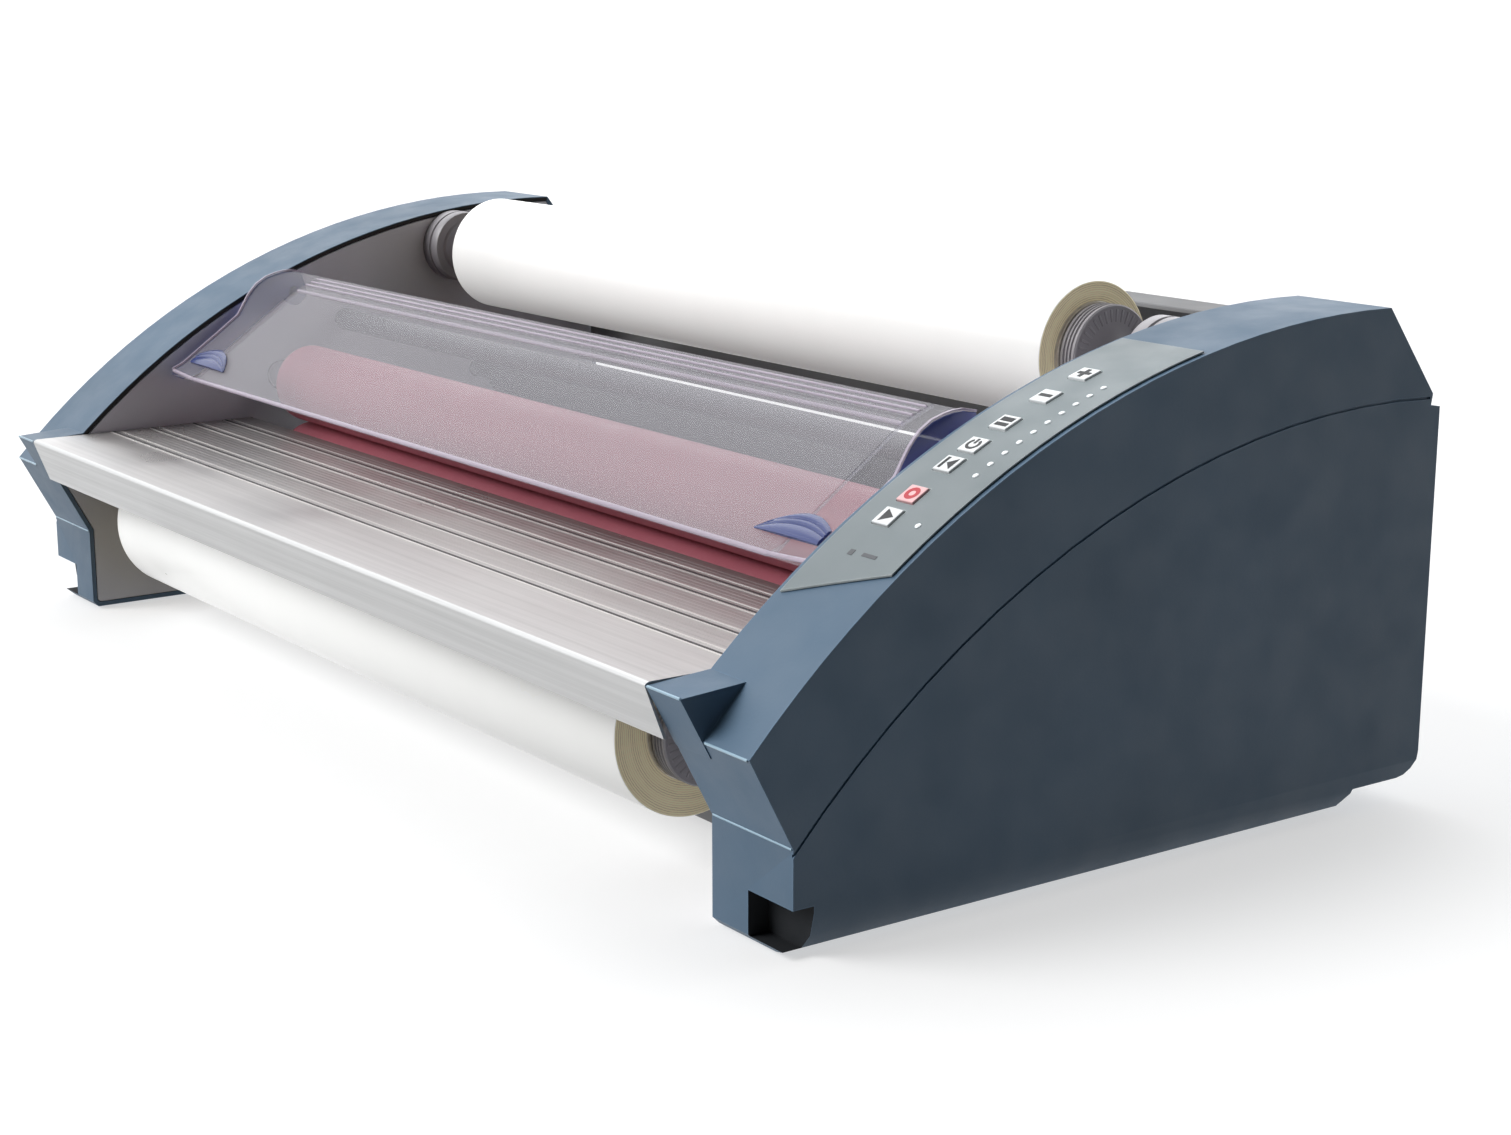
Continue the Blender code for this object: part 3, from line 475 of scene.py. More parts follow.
def finish(kind):
    """A finish by name, made the first time it is asked for."""
    name = f"{kind}_finish"
    known = bpy.data.materials.get(name)
    if known:
        return known
    paint = bpy.context.scene.laminator_paint
    stage = bpy.context.scene.laminator_stage
    slate = tuple(paint.slate)
    makers = {
        # Slate edges twice as light, in patches: partly wear, partly painted highlight.
        "slate_plastic": lambda: moulded(name, slate, 0.52,
                                         edge=[min(1.0, part * 2.0) for part in slate]),
        "frame_paint": lambda: moulded(name, tuple(paint.frame_grey), 0.45, 300.0, 0.0002,
                                       (0.35, 0.36, 0.37)),
        "cover_paint": lambda: moulded(name, (0.22, 0.22, 0.225), 0.70, 340.0, 0.00003),
        "table_metal": lambda: brushed(name, tuple(paint.table), 0.31, 0.66),
        "satin_metal": lambda: brushed(name, (0.56, 0.56, 0.55), 0.35, 0.9),
        "bare_steel": lambda: brushed(name, (0.50, 0.50, 0.51), 0.26, 1.0,
                                      (260.0, 6.0, 6.0)),
        "screw_steel": lambda: brushed(name, (0.42, 0.42, 0.43), 0.32, 1.0,
                                       (300.0, 300.0, 40.0)),
        "silicone": lambda: silicone(name, tuple(paint.silicone)),
        "film": lambda: film_finish(name, tuple(paint.film)),
        "upper_film_end": lambda: film_end_finish(name, tuple(paint.film_end),
                                                  "upper_film_roll"),
        "lower_film_end": lambda: film_end_finish(name, tuple(paint.film_end),
                                                  "lower_film_roll"),
        "core_card": lambda: card(name, (0.62, 0.57, 0.50)),
        "chuck_plastic": lambda: moulded(name, (0.320, 0.305, 0.325), 0.38, 700.0, 0.0001,
                                         (0.32, 0.31, 0.32)),
        # near black: painted shade inside the cabinets' hand recesses
        "recess_painted_shade": lambda: moulded(name, (0.003, 0.005, 0.008), 0.85),
        "black_plastic": lambda: moulded(name, (0.024, 0.024, 0.026), 0.46, 600.0, 0.0001),
        "rubber": lambda: moulded(name, (0.018, 0.018, 0.018), 0.78, 900.0, 0.0002),
        "guard_clear": lambda: clear(name, tuple(paint.guard), paint.guard_haze, 0.34, 0.12),
        "guard_faint": lambda: clear(name, tuple(paint.guard), 0.10, 0.30, 0.10),
        # light blue: painted highlight along the cabinets' edges
        "edge_highlight": lambda: moulded(name, (0.30, 0.44, 0.54), 0.30, 600.0, 0.00005),
        "table_lip": lambda: brushed(name, (0.560, 0.560, 0.560), 0.36, 0.45),
        "dark_steel": lambda: brushed(name, (0.050, 0.050, 0.055), 0.50, 0.4),
        # pale: painted highlight lines on the feed table
        "highlight_line": lambda: brushed(name, (0.70, 0.68, 0.66), 0.30, 0.5),
        # pale lavender, less clear: painted highlight on the guard's folded edges
        "guard_edge_highlight": lambda: clear(name, (0.60, 0.52, 0.63), 0.58, 0.22),
        "blue_clear": lambda: clear(name, (0.075, 0.100, 0.360), 0.90, 0.14),
        "blue_bright": lambda: clear(name, (0.026, 0.045, 0.190), 0.97, 0.22),
        "overlay": lambda: moulded(name, tuple(paint.overlay), 0.40, 1100.0, 0.00005,
                                   (0.55, 0.60, 0.60)),
        "key_white": lambda: moulded(name, (0.74, 0.76, 0.77), 0.42, 900.0, 0.00005),
        "key_red": lambda: moulded(name, (0.78, 0.46, 0.47), 0.42, 900.0, 0.00005),
        "icon_ink": lambda: moulded(name, (0.020, 0.021, 0.024), 0.55, 900.0, 0.00004),
        "faint_ink": lambda: moulded(name, (0.085, 0.090, 0.100), 0.55, 900.0, 0.00004),
        "icon_deep_red": lambda: moulded(name, (0.50, 0.035, 0.05), 0.55, 900.0, 0.00004),
        "lamp_lens": lambda: clear(name, (0.86, 0.90, 0.92), 1.0, 0.18),
        # near black: painted shade of the feed table's grooves
        "groove_shade": lambda: moulded(name, (0.055, 0.052, 0.055), 0.62, 900.0, 0.0001),
        "circuit_green": lambda: board(name, (0.02, 0.16, 0.06)),
        "studio_floor": lambda: studio(name, tuple(stage.floor), stage.floor_glow),
    }
    return makers[kind]()


# ---------------------------------------------------------------- node trees
def tree_with(name, inputs):
    """Empty geometry tree with named inputs, and its input and output nodes."""
    tree = bpy.data.node_groups.new(name, "GeometryNodeTree")
    for label, kind in inputs:
        tree.interface.new_socket(label, in_out="INPUT", socket_type=f"NodeSocket{kind}")
    tree.interface.new_socket("Copies", in_out="OUTPUT", socket_type="NodeSocketGeometry")
    return tree, tree.nodes.new("NodeGroupInput"), tree.nodes.new("NodeGroupOutput")


def wire(tree, *pairs):
    for source, target in pairs:
        tree.links.new(source, target)


def closed_tree(tree, given, ends, instances):
    """Last steps of every tree: real geometry, then its finish."""
    real = tree.nodes.new("GeometryNodeRealizeInstances")
    dress = tree.nodes.new("GeometryNodeSetMaterial")
    wire(tree, (instances, real.inputs["Geometry"]),
         (real.outputs["Geometry"], dress.inputs["Geometry"]),
         (given.outputs["Finish"], dress.inputs["Material"]),
         (dress.outputs["Geometry"], ends.inputs["Copies"]))
    return tree


def studs_tree():
    """One small shape on every point, standing along the point's own facing."""
    tree, given, ends = tree_with("studs", (
        ("Points", "Geometry"), ("Shape", "Object"), ("Size", "Float"),
        ("Finish", "Material")))
    shape = tree.nodes.new("GeometryNodeObjectInfo")
    facing = tree.nodes.new("GeometryNodeInputNamedAttribute")
    facing.data_type = "FLOAT_VECTOR"
    facing.inputs["Name"].default_value = "facing"
    turn = tree.nodes.new("FunctionNodeAlignRotationToVector")
    turn.axis = "Z"
    place = tree.nodes.new("GeometryNodeInstanceOnPoints")
    wire(tree, (given.outputs["Points"], place.inputs["Points"]),
         (given.outputs["Shape"], shape.inputs["Object"]),
         (shape.outputs["Geometry"], place.inputs["Instance"]),
         (facing.outputs["Attribute"], turn.inputs["Vector"]),
         (turn.outputs["Rotation"], place.inputs["Rotation"]),
         (given.outputs["Size"], place.inputs["Scale"]))
    return closed_tree(tree, given, ends, place.outputs["Instances"])


def rows_tree():
    """Bars in an even row: ribs, louvres and tread."""
    tree, given, ends = tree_with("rows", (
        ("Geometry", "Geometry"), ("Start", "Vector"), ("Step", "Vector"),
        ("Count", "Int"), ("Bar", "Vector"), ("Finish", "Material")))
    line = tree.nodes.new("GeometryNodeMeshLine")
    line.mode = "OFFSET"
    bar = tree.nodes.new("GeometryNodeMeshCube")
    place = tree.nodes.new("GeometryNodeInstanceOnPoints")
    wire(tree, (given.outputs["Count"], line.inputs["Count"]),
         (given.outputs["Start"], line.inputs["Start Location"]),
         (given.outputs["Step"], line.inputs["Offset"]),
         (given.outputs["Bar"], bar.inputs["Size"]),
         (line.outputs["Mesh"], place.inputs["Points"]),
         (bar.outputs["Mesh"], place.inputs["Instance"]))
    return closed_tree(tree, given, ends, place.outputs["Instances"])


def grown(name, tree, values, base=None):
    """Run a tree on its own object and keep the plain mesh it makes."""
    host = linked(name, base or bpy.data.meshes.new(name))
    change = host.modifiers.new("copies", "NODES")
    change.node_group = bpy.data.node_groups.get(tree.__name__[:-5]) or tree()
    for item in change.node_group.interface.items_tree:
        if item.in_out == "INPUT" and item.name in values:
            change[item.identifier] = values[item.name]
    return settled(host)


def studded(name, places, shape, finish_name, size=1.0):
    """The shape on every (point, facing) pair, as one mesh."""
    points = bpy.data.meshes.new(name)
    points.from_pydata([place for place, facing in places], [], [])
    facing = points.attributes.new("facing", "FLOAT_VECTOR", "POINT")
    facing.data.foreach_set("vector", [part for place, way in places for part in way])
    made = grown(name, studs_tree, {"Shape": shape, "Size": size,
                                    "Finish": finish(finish_name)}, points)
    bpy.data.objects.remove(shape, do_unlink=True)
    made.data.shade_smooth()
    made.data.set_sharp_from_angle(angle=radians(35))
    return made


def screw_head(radius=0.0030, height=0.0016):
    """Pan head with a cross recess, standing on its own base."""
    mesh = bmesh.new()
    rings = ((radius, 0.0), (radius, height * 0.35), (radius * 0.86, height * 0.78),
             (radius * 0.55, height))
    count = 16
    grid = [[mesh.verts.new((r * cos(2 * pi * k / count), r * sin(2 * pi * k / count), z))
             for k in range(count)] for r, z in rings]
    for low, high in zip(grid, grid[1:]):
        for k in range(count):
            mesh.faces.new((low[k], low[(k + 1) % count], high[(k + 1) % count], high[k]))
    mesh.faces.new(grid[0][::-1])
    inner = [mesh.verts.new((radius * (0.46 if k % 4 == 0 else 0.16)
                             * cos(2 * pi * k / count),
                             radius * (0.46 if k % 4 == 0 else 0.16)
                             * sin(2 * pi * k / count), height)) for k in range(count)]
    floor = [mesh.verts.new((v.co.x * 0.8, v.co.y * 0.8, height * 0.45)) for v in inner]
    for k in range(count):
        step = (k + 1) % count
        mesh.faces.new((grid[-1][k], grid[-1][step], inner[step], inner[k]))
        mesh.faces.new((inner[k], inner[step], floor[step], floor[k]))
    mesh.faces.new(floor)
    return shaped("screw_head_shape", mesh)


def dome(radius, height, count=20):
    mesh = bmesh.new()
    rings = ((radius, -height), (radius, height * 0.35), (radius * 0.88, height * 0.72),
             (radius * 0.58, height * 0.94))
    grid = [[mesh.verts.new((r * cos(2 * pi * k / count), r * sin(2 * pi * k / count), z))
             for k in range(count)] for r, z in rings]
    for low, high in zip(grid, grid[1:]):
        for k in range(count):
            mesh.faces.new((low[k], low[(k + 1) % count], high[(k + 1) % count], high[k]))
    mesh.faces.new(grid[0][::-1])
    top = mesh.verts.new((0.0, 0.0, height))
    for k in range(count):
        mesh.faces.new((grid[-1][k], grid[-1][(k + 1) % count], top))
    return shaped("dome_shape", mesh)


def block_shape(name, size, edge=0.0):
    mesh = bmesh.new()
    bmesh.ops.create_cube(mesh, size=1.0)
    bmesh.ops.scale(mesh, verts=mesh.verts, vec=size)
    made = shaped(name, mesh)
    return rounded(made, edge) if edge else made


# ---------------------------------------------------------------- icons
def plate(name, faces, thickness):
    """Flat faces in the XY plane, given as lists of points, made one closed plate."""
    mesh = bmesh.new()
    known = {}
    made = []
    for face in faces:
        corners = []
        for x, y in face:
            key = (round(x, 7), round(y, 7))
            if key not in known:
                known[key] = mesh.verts.new((x, y, 0.0))
            corners.append(known[key])
        made.append(mesh.faces.new(corners))
    pushed = bmesh.ops.extrude_face_region(mesh, geom=made)
    moved = [part for part in pushed["geom"] if isinstance(part, bmesh.types.BMVert)]
    bmesh.ops.translate(mesh, verts=moved, vec=(0.0, 0.0, thickness))
    return shaped(name, mesh)


def ring_faces(outer, inner, start=0.0, sweep=2 * pi, count=20):
    points = [(cos(start + sweep * k / count), sin(start + sweep * k / count))
              for k in range(count + 1)]
    return [[(a[0] * outer, a[1] * outer), (b[0] * outer, b[1] * outer),
             (b[0] * inner, b[1] * inner), (a[0] * inner, a[1] * inner)]
            for a, b in zip(points, points[1:])]


def bar_face(x0, y0, x1, y1):
    return [(x0, y0), (x1, y0), (x1, y1), (x0, y1)]


def icon_faces(kind, size):
    """Plain generic marks, about size to each side of the middle."""
    s = size
    shapes = {
        "play": [[(-s * 0.7, -s), (s, 0.0), (-s * 0.7, s)]],
        "back": [[(s * 0.9, -s), (s * 0.9, s), (-s * 0.3, 0.0)],
                 bar_face(-s, -s, -s * 0.55, s)],
        "ring": ring_faces(s, s * 0.45),
        "power": ring_faces(s, s * 0.62, radians(125), radians(290), 16)
        + [bar_face(-s * 0.18, s * 0.1, s * 0.18, s * 1.05)],
        "frame": [bar_face(-s, -s * 0.9, s, -s * 0.25), bar_face(-s, s * 0.1, s, s * 0.9)],
        "minus": [bar_face(-s, -s * 0.3, s, s * 0.3)],
        "plus": [bar_face(-s, -s * 0.3, -s * 0.3, s * 0.3),
                 [(-s * 0.3, -s), (s * 0.3, -s), (s * 0.3, -s * 0.3), (s * 0.3, s * 0.3),
                  (s * 0.3, s), (-s * 0.3, s), (-s * 0.3, s * 0.3), (-s * 0.3, -s * 0.3)],
                 bar_face(s * 0.3, -s * 0.3, s, s * 0.3)],
    }
    return shapes[kind]


def stand_on_arc(piece, x, y, lift):
    """Lay a flat piece on the top arc of the right-hand cabinet."""
    py, pz = arc_place(y, lift)[0]
    turn = Matrix.Rotation(acos((y - ARC_CENTRE[0]) / ARC_R) - pi / 2, 4, "X")
    piece.data.transform(Matrix.Translation((x, py, pz)) @ turn)
    return piece


# ---------------------------------------------------------------- settings
class PaintSettings(bpy.types.PropertyGroup):
    """Colours of the finishes."""
    slate: bpy.props.FloatVectorProperty(
        name="Slate", description="Moulded end cabinets", subtype="COLOR", size=3,
        min=0.0, max=1.0, default=(0.063, 0.119, 0.186))
    frame_grey: bpy.props.FloatVectorProperty(
        name="Frame grey", description="Painted side frames and table rails", subtype="COLOR",
        size=3, min=0.0, max=1.0, default=(0.740, 0.740, 0.800))
    table: bpy.props.FloatVectorProperty(
        name="Table metal", description="Feed table and its lip", subtype="COLOR", size=3,
        min=0.0, max=1.0, default=(0.430, 0.412, 0.405))
    silicone: bpy.props.FloatVectorProperty(
        name="Silicone", description="Sleeves of the laminating rollers", subtype="COLOR",
        size=3, min=0.0, max=1.0, default=(0.470, 0.140, 0.180))
    film: bpy.props.FloatVectorProperty(
        name="Film", description="White film on the supply rolls", subtype="COLOR", size=3,
        min=0.0, max=1.0, default=(0.800, 0.800, 0.785))
    film_end: bpy.props.FloatVectorProperty(
        name="Film ends", description="Wound layers at a roll's ends", subtype="COLOR",
        size=3, min=0.0, max=1.0, default=(0.820, 0.710, 0.470))
    guard: bpy.props.FloatVectorProperty(
        name="Guard", description="Clear guard over the rollers", subtype="COLOR", size=3,
        min=0.0, max=1.0, default=(0.500, 0.490, 0.530))
    guard_haze: bpy.props.FloatProperty(
        name="Guard haze", description="How much of the guard is seen, not seen through",
        subtype="FACTOR", min=0.0, max=1.0, default=0.30)
    overlay: bpy.props.FloatVectorProperty(
        name="Overlay", description="Printed sheet round the keys", subtype="COLOR", size=3,
        min=0.0, max=1.0, default=(0.155, 0.188, 0.200))


class ShapeSettings(bpy.types.PropertyGroup):
    """Sizes of the visible detail."""
    cabinet_edge: bpy.props.FloatProperty(
        name="Cabinet edge", description="Rounding of the cabinets' edges", unit="LENGTH",
        min=0.0002, max=0.003, default=0.0013)
    key_edge: bpy.props.FloatProperty(
        name="Key edge", description="Rounding of the keys", unit="LENGTH", min=0.0001,
        max=0.001, default=0.0005)
    icon_size: bpy.props.FloatProperty(
        name="Icon size", description="Half the width of a mark on a key", unit="LENGTH",
        min=0.001, max=0.005, default=0.0044)
    lamp_radius: bpy.props.FloatProperty(
        name="Lamp radius", description="Radius of an indicator lens", unit="LENGTH",
        min=0.0005, max=0.003, default=0.0017)
    rib_pitch: bpy.props.FloatProperty(
        name="Rib pitch", description="Distance between the table's fine ribs",
        unit="LENGTH", min=0.001, max=0.01, default=0.0041)
    rib_height: bpy.props.FloatProperty(
        name="Rib height", description="Height of the table's fine ribs", unit="LENGTH",
        min=0.00005, max=0.001, default=0.00012)
    film_layers: bpy.props.IntProperty(
        name="Film layers", description="Steps modelled at the ends of a film roll",
        min=4, max=60, default=22)
    vent_count: bpy.props.IntProperty(
        name="Vents", description="Slots in each group in the rear wall", min=2, max=40,
        default=16)


class StageSettings(bpy.types.PropertyGroup):
    """Floor, lights and camera."""
    floor: bpy.props.FloatVectorProperty(
        name="Floor", description="Colour of the floor", subtype="COLOR", size=3, min=0.0,
        max=1.0, default=(0.45, 0.45, 0.45))
    floor_glow: bpy.props.FloatProperty(
        name="Floor glow", description="Light that the floor gives by itself", min=0.0,
        max=2.0, default=0.55)
    key_power: bpy.props.FloatProperty(
        name="Key light", description="Strength of the light from the front left",
        min=0.0, max=20.0, default=2.7)
    top_power: bpy.props.FloatProperty(
        name="Top light", description="Strength of the light from above", min=0.0,
        max=20.0, default=0.35)
    sky_bright: bpy.props.FloatProperty(
        name="Bright side", description="Brightness of the surroundings at the far left",
        min=0.0, max=5.0, default=1.9)
    sky_dark: bpy.props.FloatProperty(
        name="Dark side", description="Brightness of the surroundings at the control side",
        min=0.0, max=5.0, default=0.04)
    camera_place: bpy.props.FloatVectorProperty(
        name="Camera", description="Place of the camera", subtype="TRANSLATION", size=3,
        unit="LENGTH", default=(1.3644, -0.8649, 0.4486))
    camera_azimuth: bpy.props.FloatProperty(
        name="Azimuth", description="Camera angle round the machine", subtype="ANGLE",
        default=radians(54.44))
    camera_elevation: bpy.props.FloatProperty(
        name="Elevation", description="Camera angle above the machine", subtype="ANGLE",
        default=radians(12.93))
    camera_lens: bpy.props.FloatProperty(
        name="Lens", description="Focal length", subtype="DISTANCE_CAMERA",
        default=61.57)


# ---------------------------------------------------------------- operators
class LAMINATOR_OT_cabinets(bpy.types.Operator):
    """Round the edges of the two moulded end cabinets"""
    bl_idname = "laminator.cabinets"
    bl_label = "End cabinets"

    def execute(self, context):
        edge = context.scene.laminator_shape.cabinet_edge
        for side, way in sides():
            node = f"side_cover_{side}"
            shell = rounded(copied(node, f"cabinet_shell_{side}"), edge, 2, 28.0)
            mount(shell, "chassis", "slate_plastic", "slate_plastic", node)
            # Faces inside the hand recess take a near-black finish: painted shade.
            shell.data.materials.append(finish("recess_painted_shade"))
            for polygon in shell.data.polygons:
                spot = (abs(polygon.center.x), polygon.center.y, polygon.center.z)
                if all(low < part < high for part, (low, high) in zip(spot, RECESS)):
                    polygon.material_index = 1
            # Thin light-blue bars along the nose, crease and beak-tip edges: painted highlight
            # lines.
            for place, reach in CABINET_HIGHLIGHTS:
                name = f"edge_{round(-place[0] * 10000)}_{side}"
                low, high = sorted((way * reach[0], way * reach[1]))
                thick = BEAD_R["edge"]
                bead = turned(name, [(low, 0.0), (low, thick), (high, thick), (high, 0.0)],
                              place, 10)
                mount(bead, "chassis", "edge_highlight", "slate_plastic")
            # A thin dark strip in the rubber finish on the inner face, just under the cap's
            # edge: painted shade of the gap there.
            inner = abs(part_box(f"side_frame_{side}")[0 if way > 0 else 1].x)
            gap_shade_strip = extruded(f"inner_edge_trim_{side}", self.trim_outline(),
                            way * (inner - 0.0005), way * (inner + 0.0012))
            mount(gap_shade_strip, "chassis", "rubber", "rubber")
        return {"FINISHED"}

    def trim_outline(self):
        """Thin dark strip of painted shade in the gap under the cap's edge, following the top
        arc on a cabinet's inner face.
        """
        first, last = GAP_SHADE_SPAN
        steps = 40
        spots = [first + (last - first) * k / steps for k in range(steps + 1)]
        top = [arc_place(y, -0.0006)[0] for y in spots]
        low = [arc_place(y, -0.0030)[0] for y in spots]
        return top + low[::-1]


class LAMINATOR_OT_keypad(bpy.types.Operator):
    """Build the overlay, the keys with their marks and the indicator lamps"""
    bl_idname = "laminator.keypad"
    bl_label = "Keypad"

    def execute(self, context):
        shape = context.scene.laminator_shape
        overlay = rounded(copied("control_overlay", "printed_overlay"), 0.0003, 2, 30.0)
        mount(overlay, "chassis", "overlay", "pale_overlay", "control_overlay")
        for key, (y, icon) in KEYS.items():
            cap = rounded(copied(key, key.replace("_button", "_cap")), shape.key_edge, 3)
            red = key == "stop_button"
            body = f"{key}_key"
            mount(cap, body, "key_red" if red else "key_white",
                  "button_red" if red else "button_white", key)
            mark = plate(key.replace("_button", "_mark"), icon_faces(icon, shape.icon_size),
                         0.00030)
            stand_on_arc(mark, KEY_X, y, KEY_LIFT - MARK_BED)
            mount(mark, body, "icon_deep_red" if red else "icon_ink", "black_plastic")
        first, last, count = LAMP_ROW
        row = [first + (last - first) * k / (count - 1) for k in range(count)]
        places = []
        for y in row + [LONE_LAMP_Y]:
            (py, pz), way = arc_place(y, PANEL_LIFT)
            places.append(((LAMP_X, py, pz), way))
        for name, x, y, size in (("round", 0.4202, -0.1334, (0.0018, 0.0018)),
                                 ("long", 0.4335, -0.1330, (0.0052, 0.0011))):
            print_mark = plate(f"overlay_{name}_mark",
                               [bar_face(-size[0], -size[1], size[0], size[1])], 0.00020)
            stand_on_arc(print_mark, x, y, PANEL_LIFT - PRINT_BED)
            mount(print_mark, "chassis", "faint_ink", "black_plastic")
        lamps = studded("indicator_lamps", places, dome(shape.lamp_radius, 0.0005),
                        "lamp_lens")
        mount(lamps, "chassis", None, "button_white")
        return {"FINISHED"}


class LAMINATOR_OT_table(bpy.types.Operator):
    """Build the feed table with its lip, fine ribs, dark lines of painted groove shade and
    painted highlight lines beside them
    """
    bl_idname = "laminator.table"
    bl_label = "Feed table"

    def execute(self, context):
        shape = context.scene.laminator_shape
        low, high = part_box("feed_table")
        sheet = 0.0015
        outer = [TABLE_LIP, TABLE_FRONT, (TABLE_FRONT[0] + 0.0022, TABLE_TOP),
                 (TABLE_BACK_Y, TABLE_TOP)]
        path = filleted(outer, 0.0012, 4, closed=False)[::-1]
        outline = ribbon(path, sheet)
        table = rounded(extruded("feed_table_sheet", outline, low.x, high.x), 0.0004, 2, 40.0)
        mount(table, "table", "table_metal", "satin_metal", "feed_table")
        table.data.materials.append(finish("table_lip"))
        for polygon in table.data.polygons:
            if polygon.center.y < TABLE_FRONT[0] + 0.0120 and polygon.normal.y < -0.2:
                polygon.material_index = 1
        reach = high.x - low.x - 0.004
        first, last = TABLE_LINES[0] + 0.0058, TABLE_BACK_Y - 0.006
        count = int((last - first) / shape.rib_pitch) + 1
        in_front, behind = -0.0021, 0.0050      # painted highlight lines to each side of a dark one
        ribs = grown("table_ribs", rows_tree, {
            "Start": (0.0, first, TABLE_TOP + shape.rib_height / 2 - 0.0001),
            "Step": (0.0, shape.rib_pitch, 0.0), "Count": count,
            "Bar": (reach, 0.0007, shape.rib_height + 0.0002),
            "Finish": finish("table_metal")})
        mount(ribs, "table", None, "satin_metal")
        # Dark strips across the table: painted shade of its grooves.
        strip = block_shape("strip_shape", (reach, 0.0013, 0.0007))
        lines = studded("table_inlays", [((0.0, y, TABLE_TOP + 0.0001), (0.0, 0.0, 1.0))
                                         for y in TABLE_LINES], strip, "groove_shade")
        mount(lines, "table", None, "black_plastic")
        # Pale strips beside each dark line: painted highlight lines.
        strip = block_shape("pale_strip_shape", (reach, 0.0010, 0.0007))
        pale = studded("table_pale_lines", [((0.0, y + gap, TABLE_TOP + 0.0001),
                                             (0.0, 0.0, 1.0))
                                            for y in TABLE_LINES for gap in (in_front, behind)],
                       strip, "highlight_line")
        mount(pale, "table", None, "satin_metal")
        return {"FINISHED"}


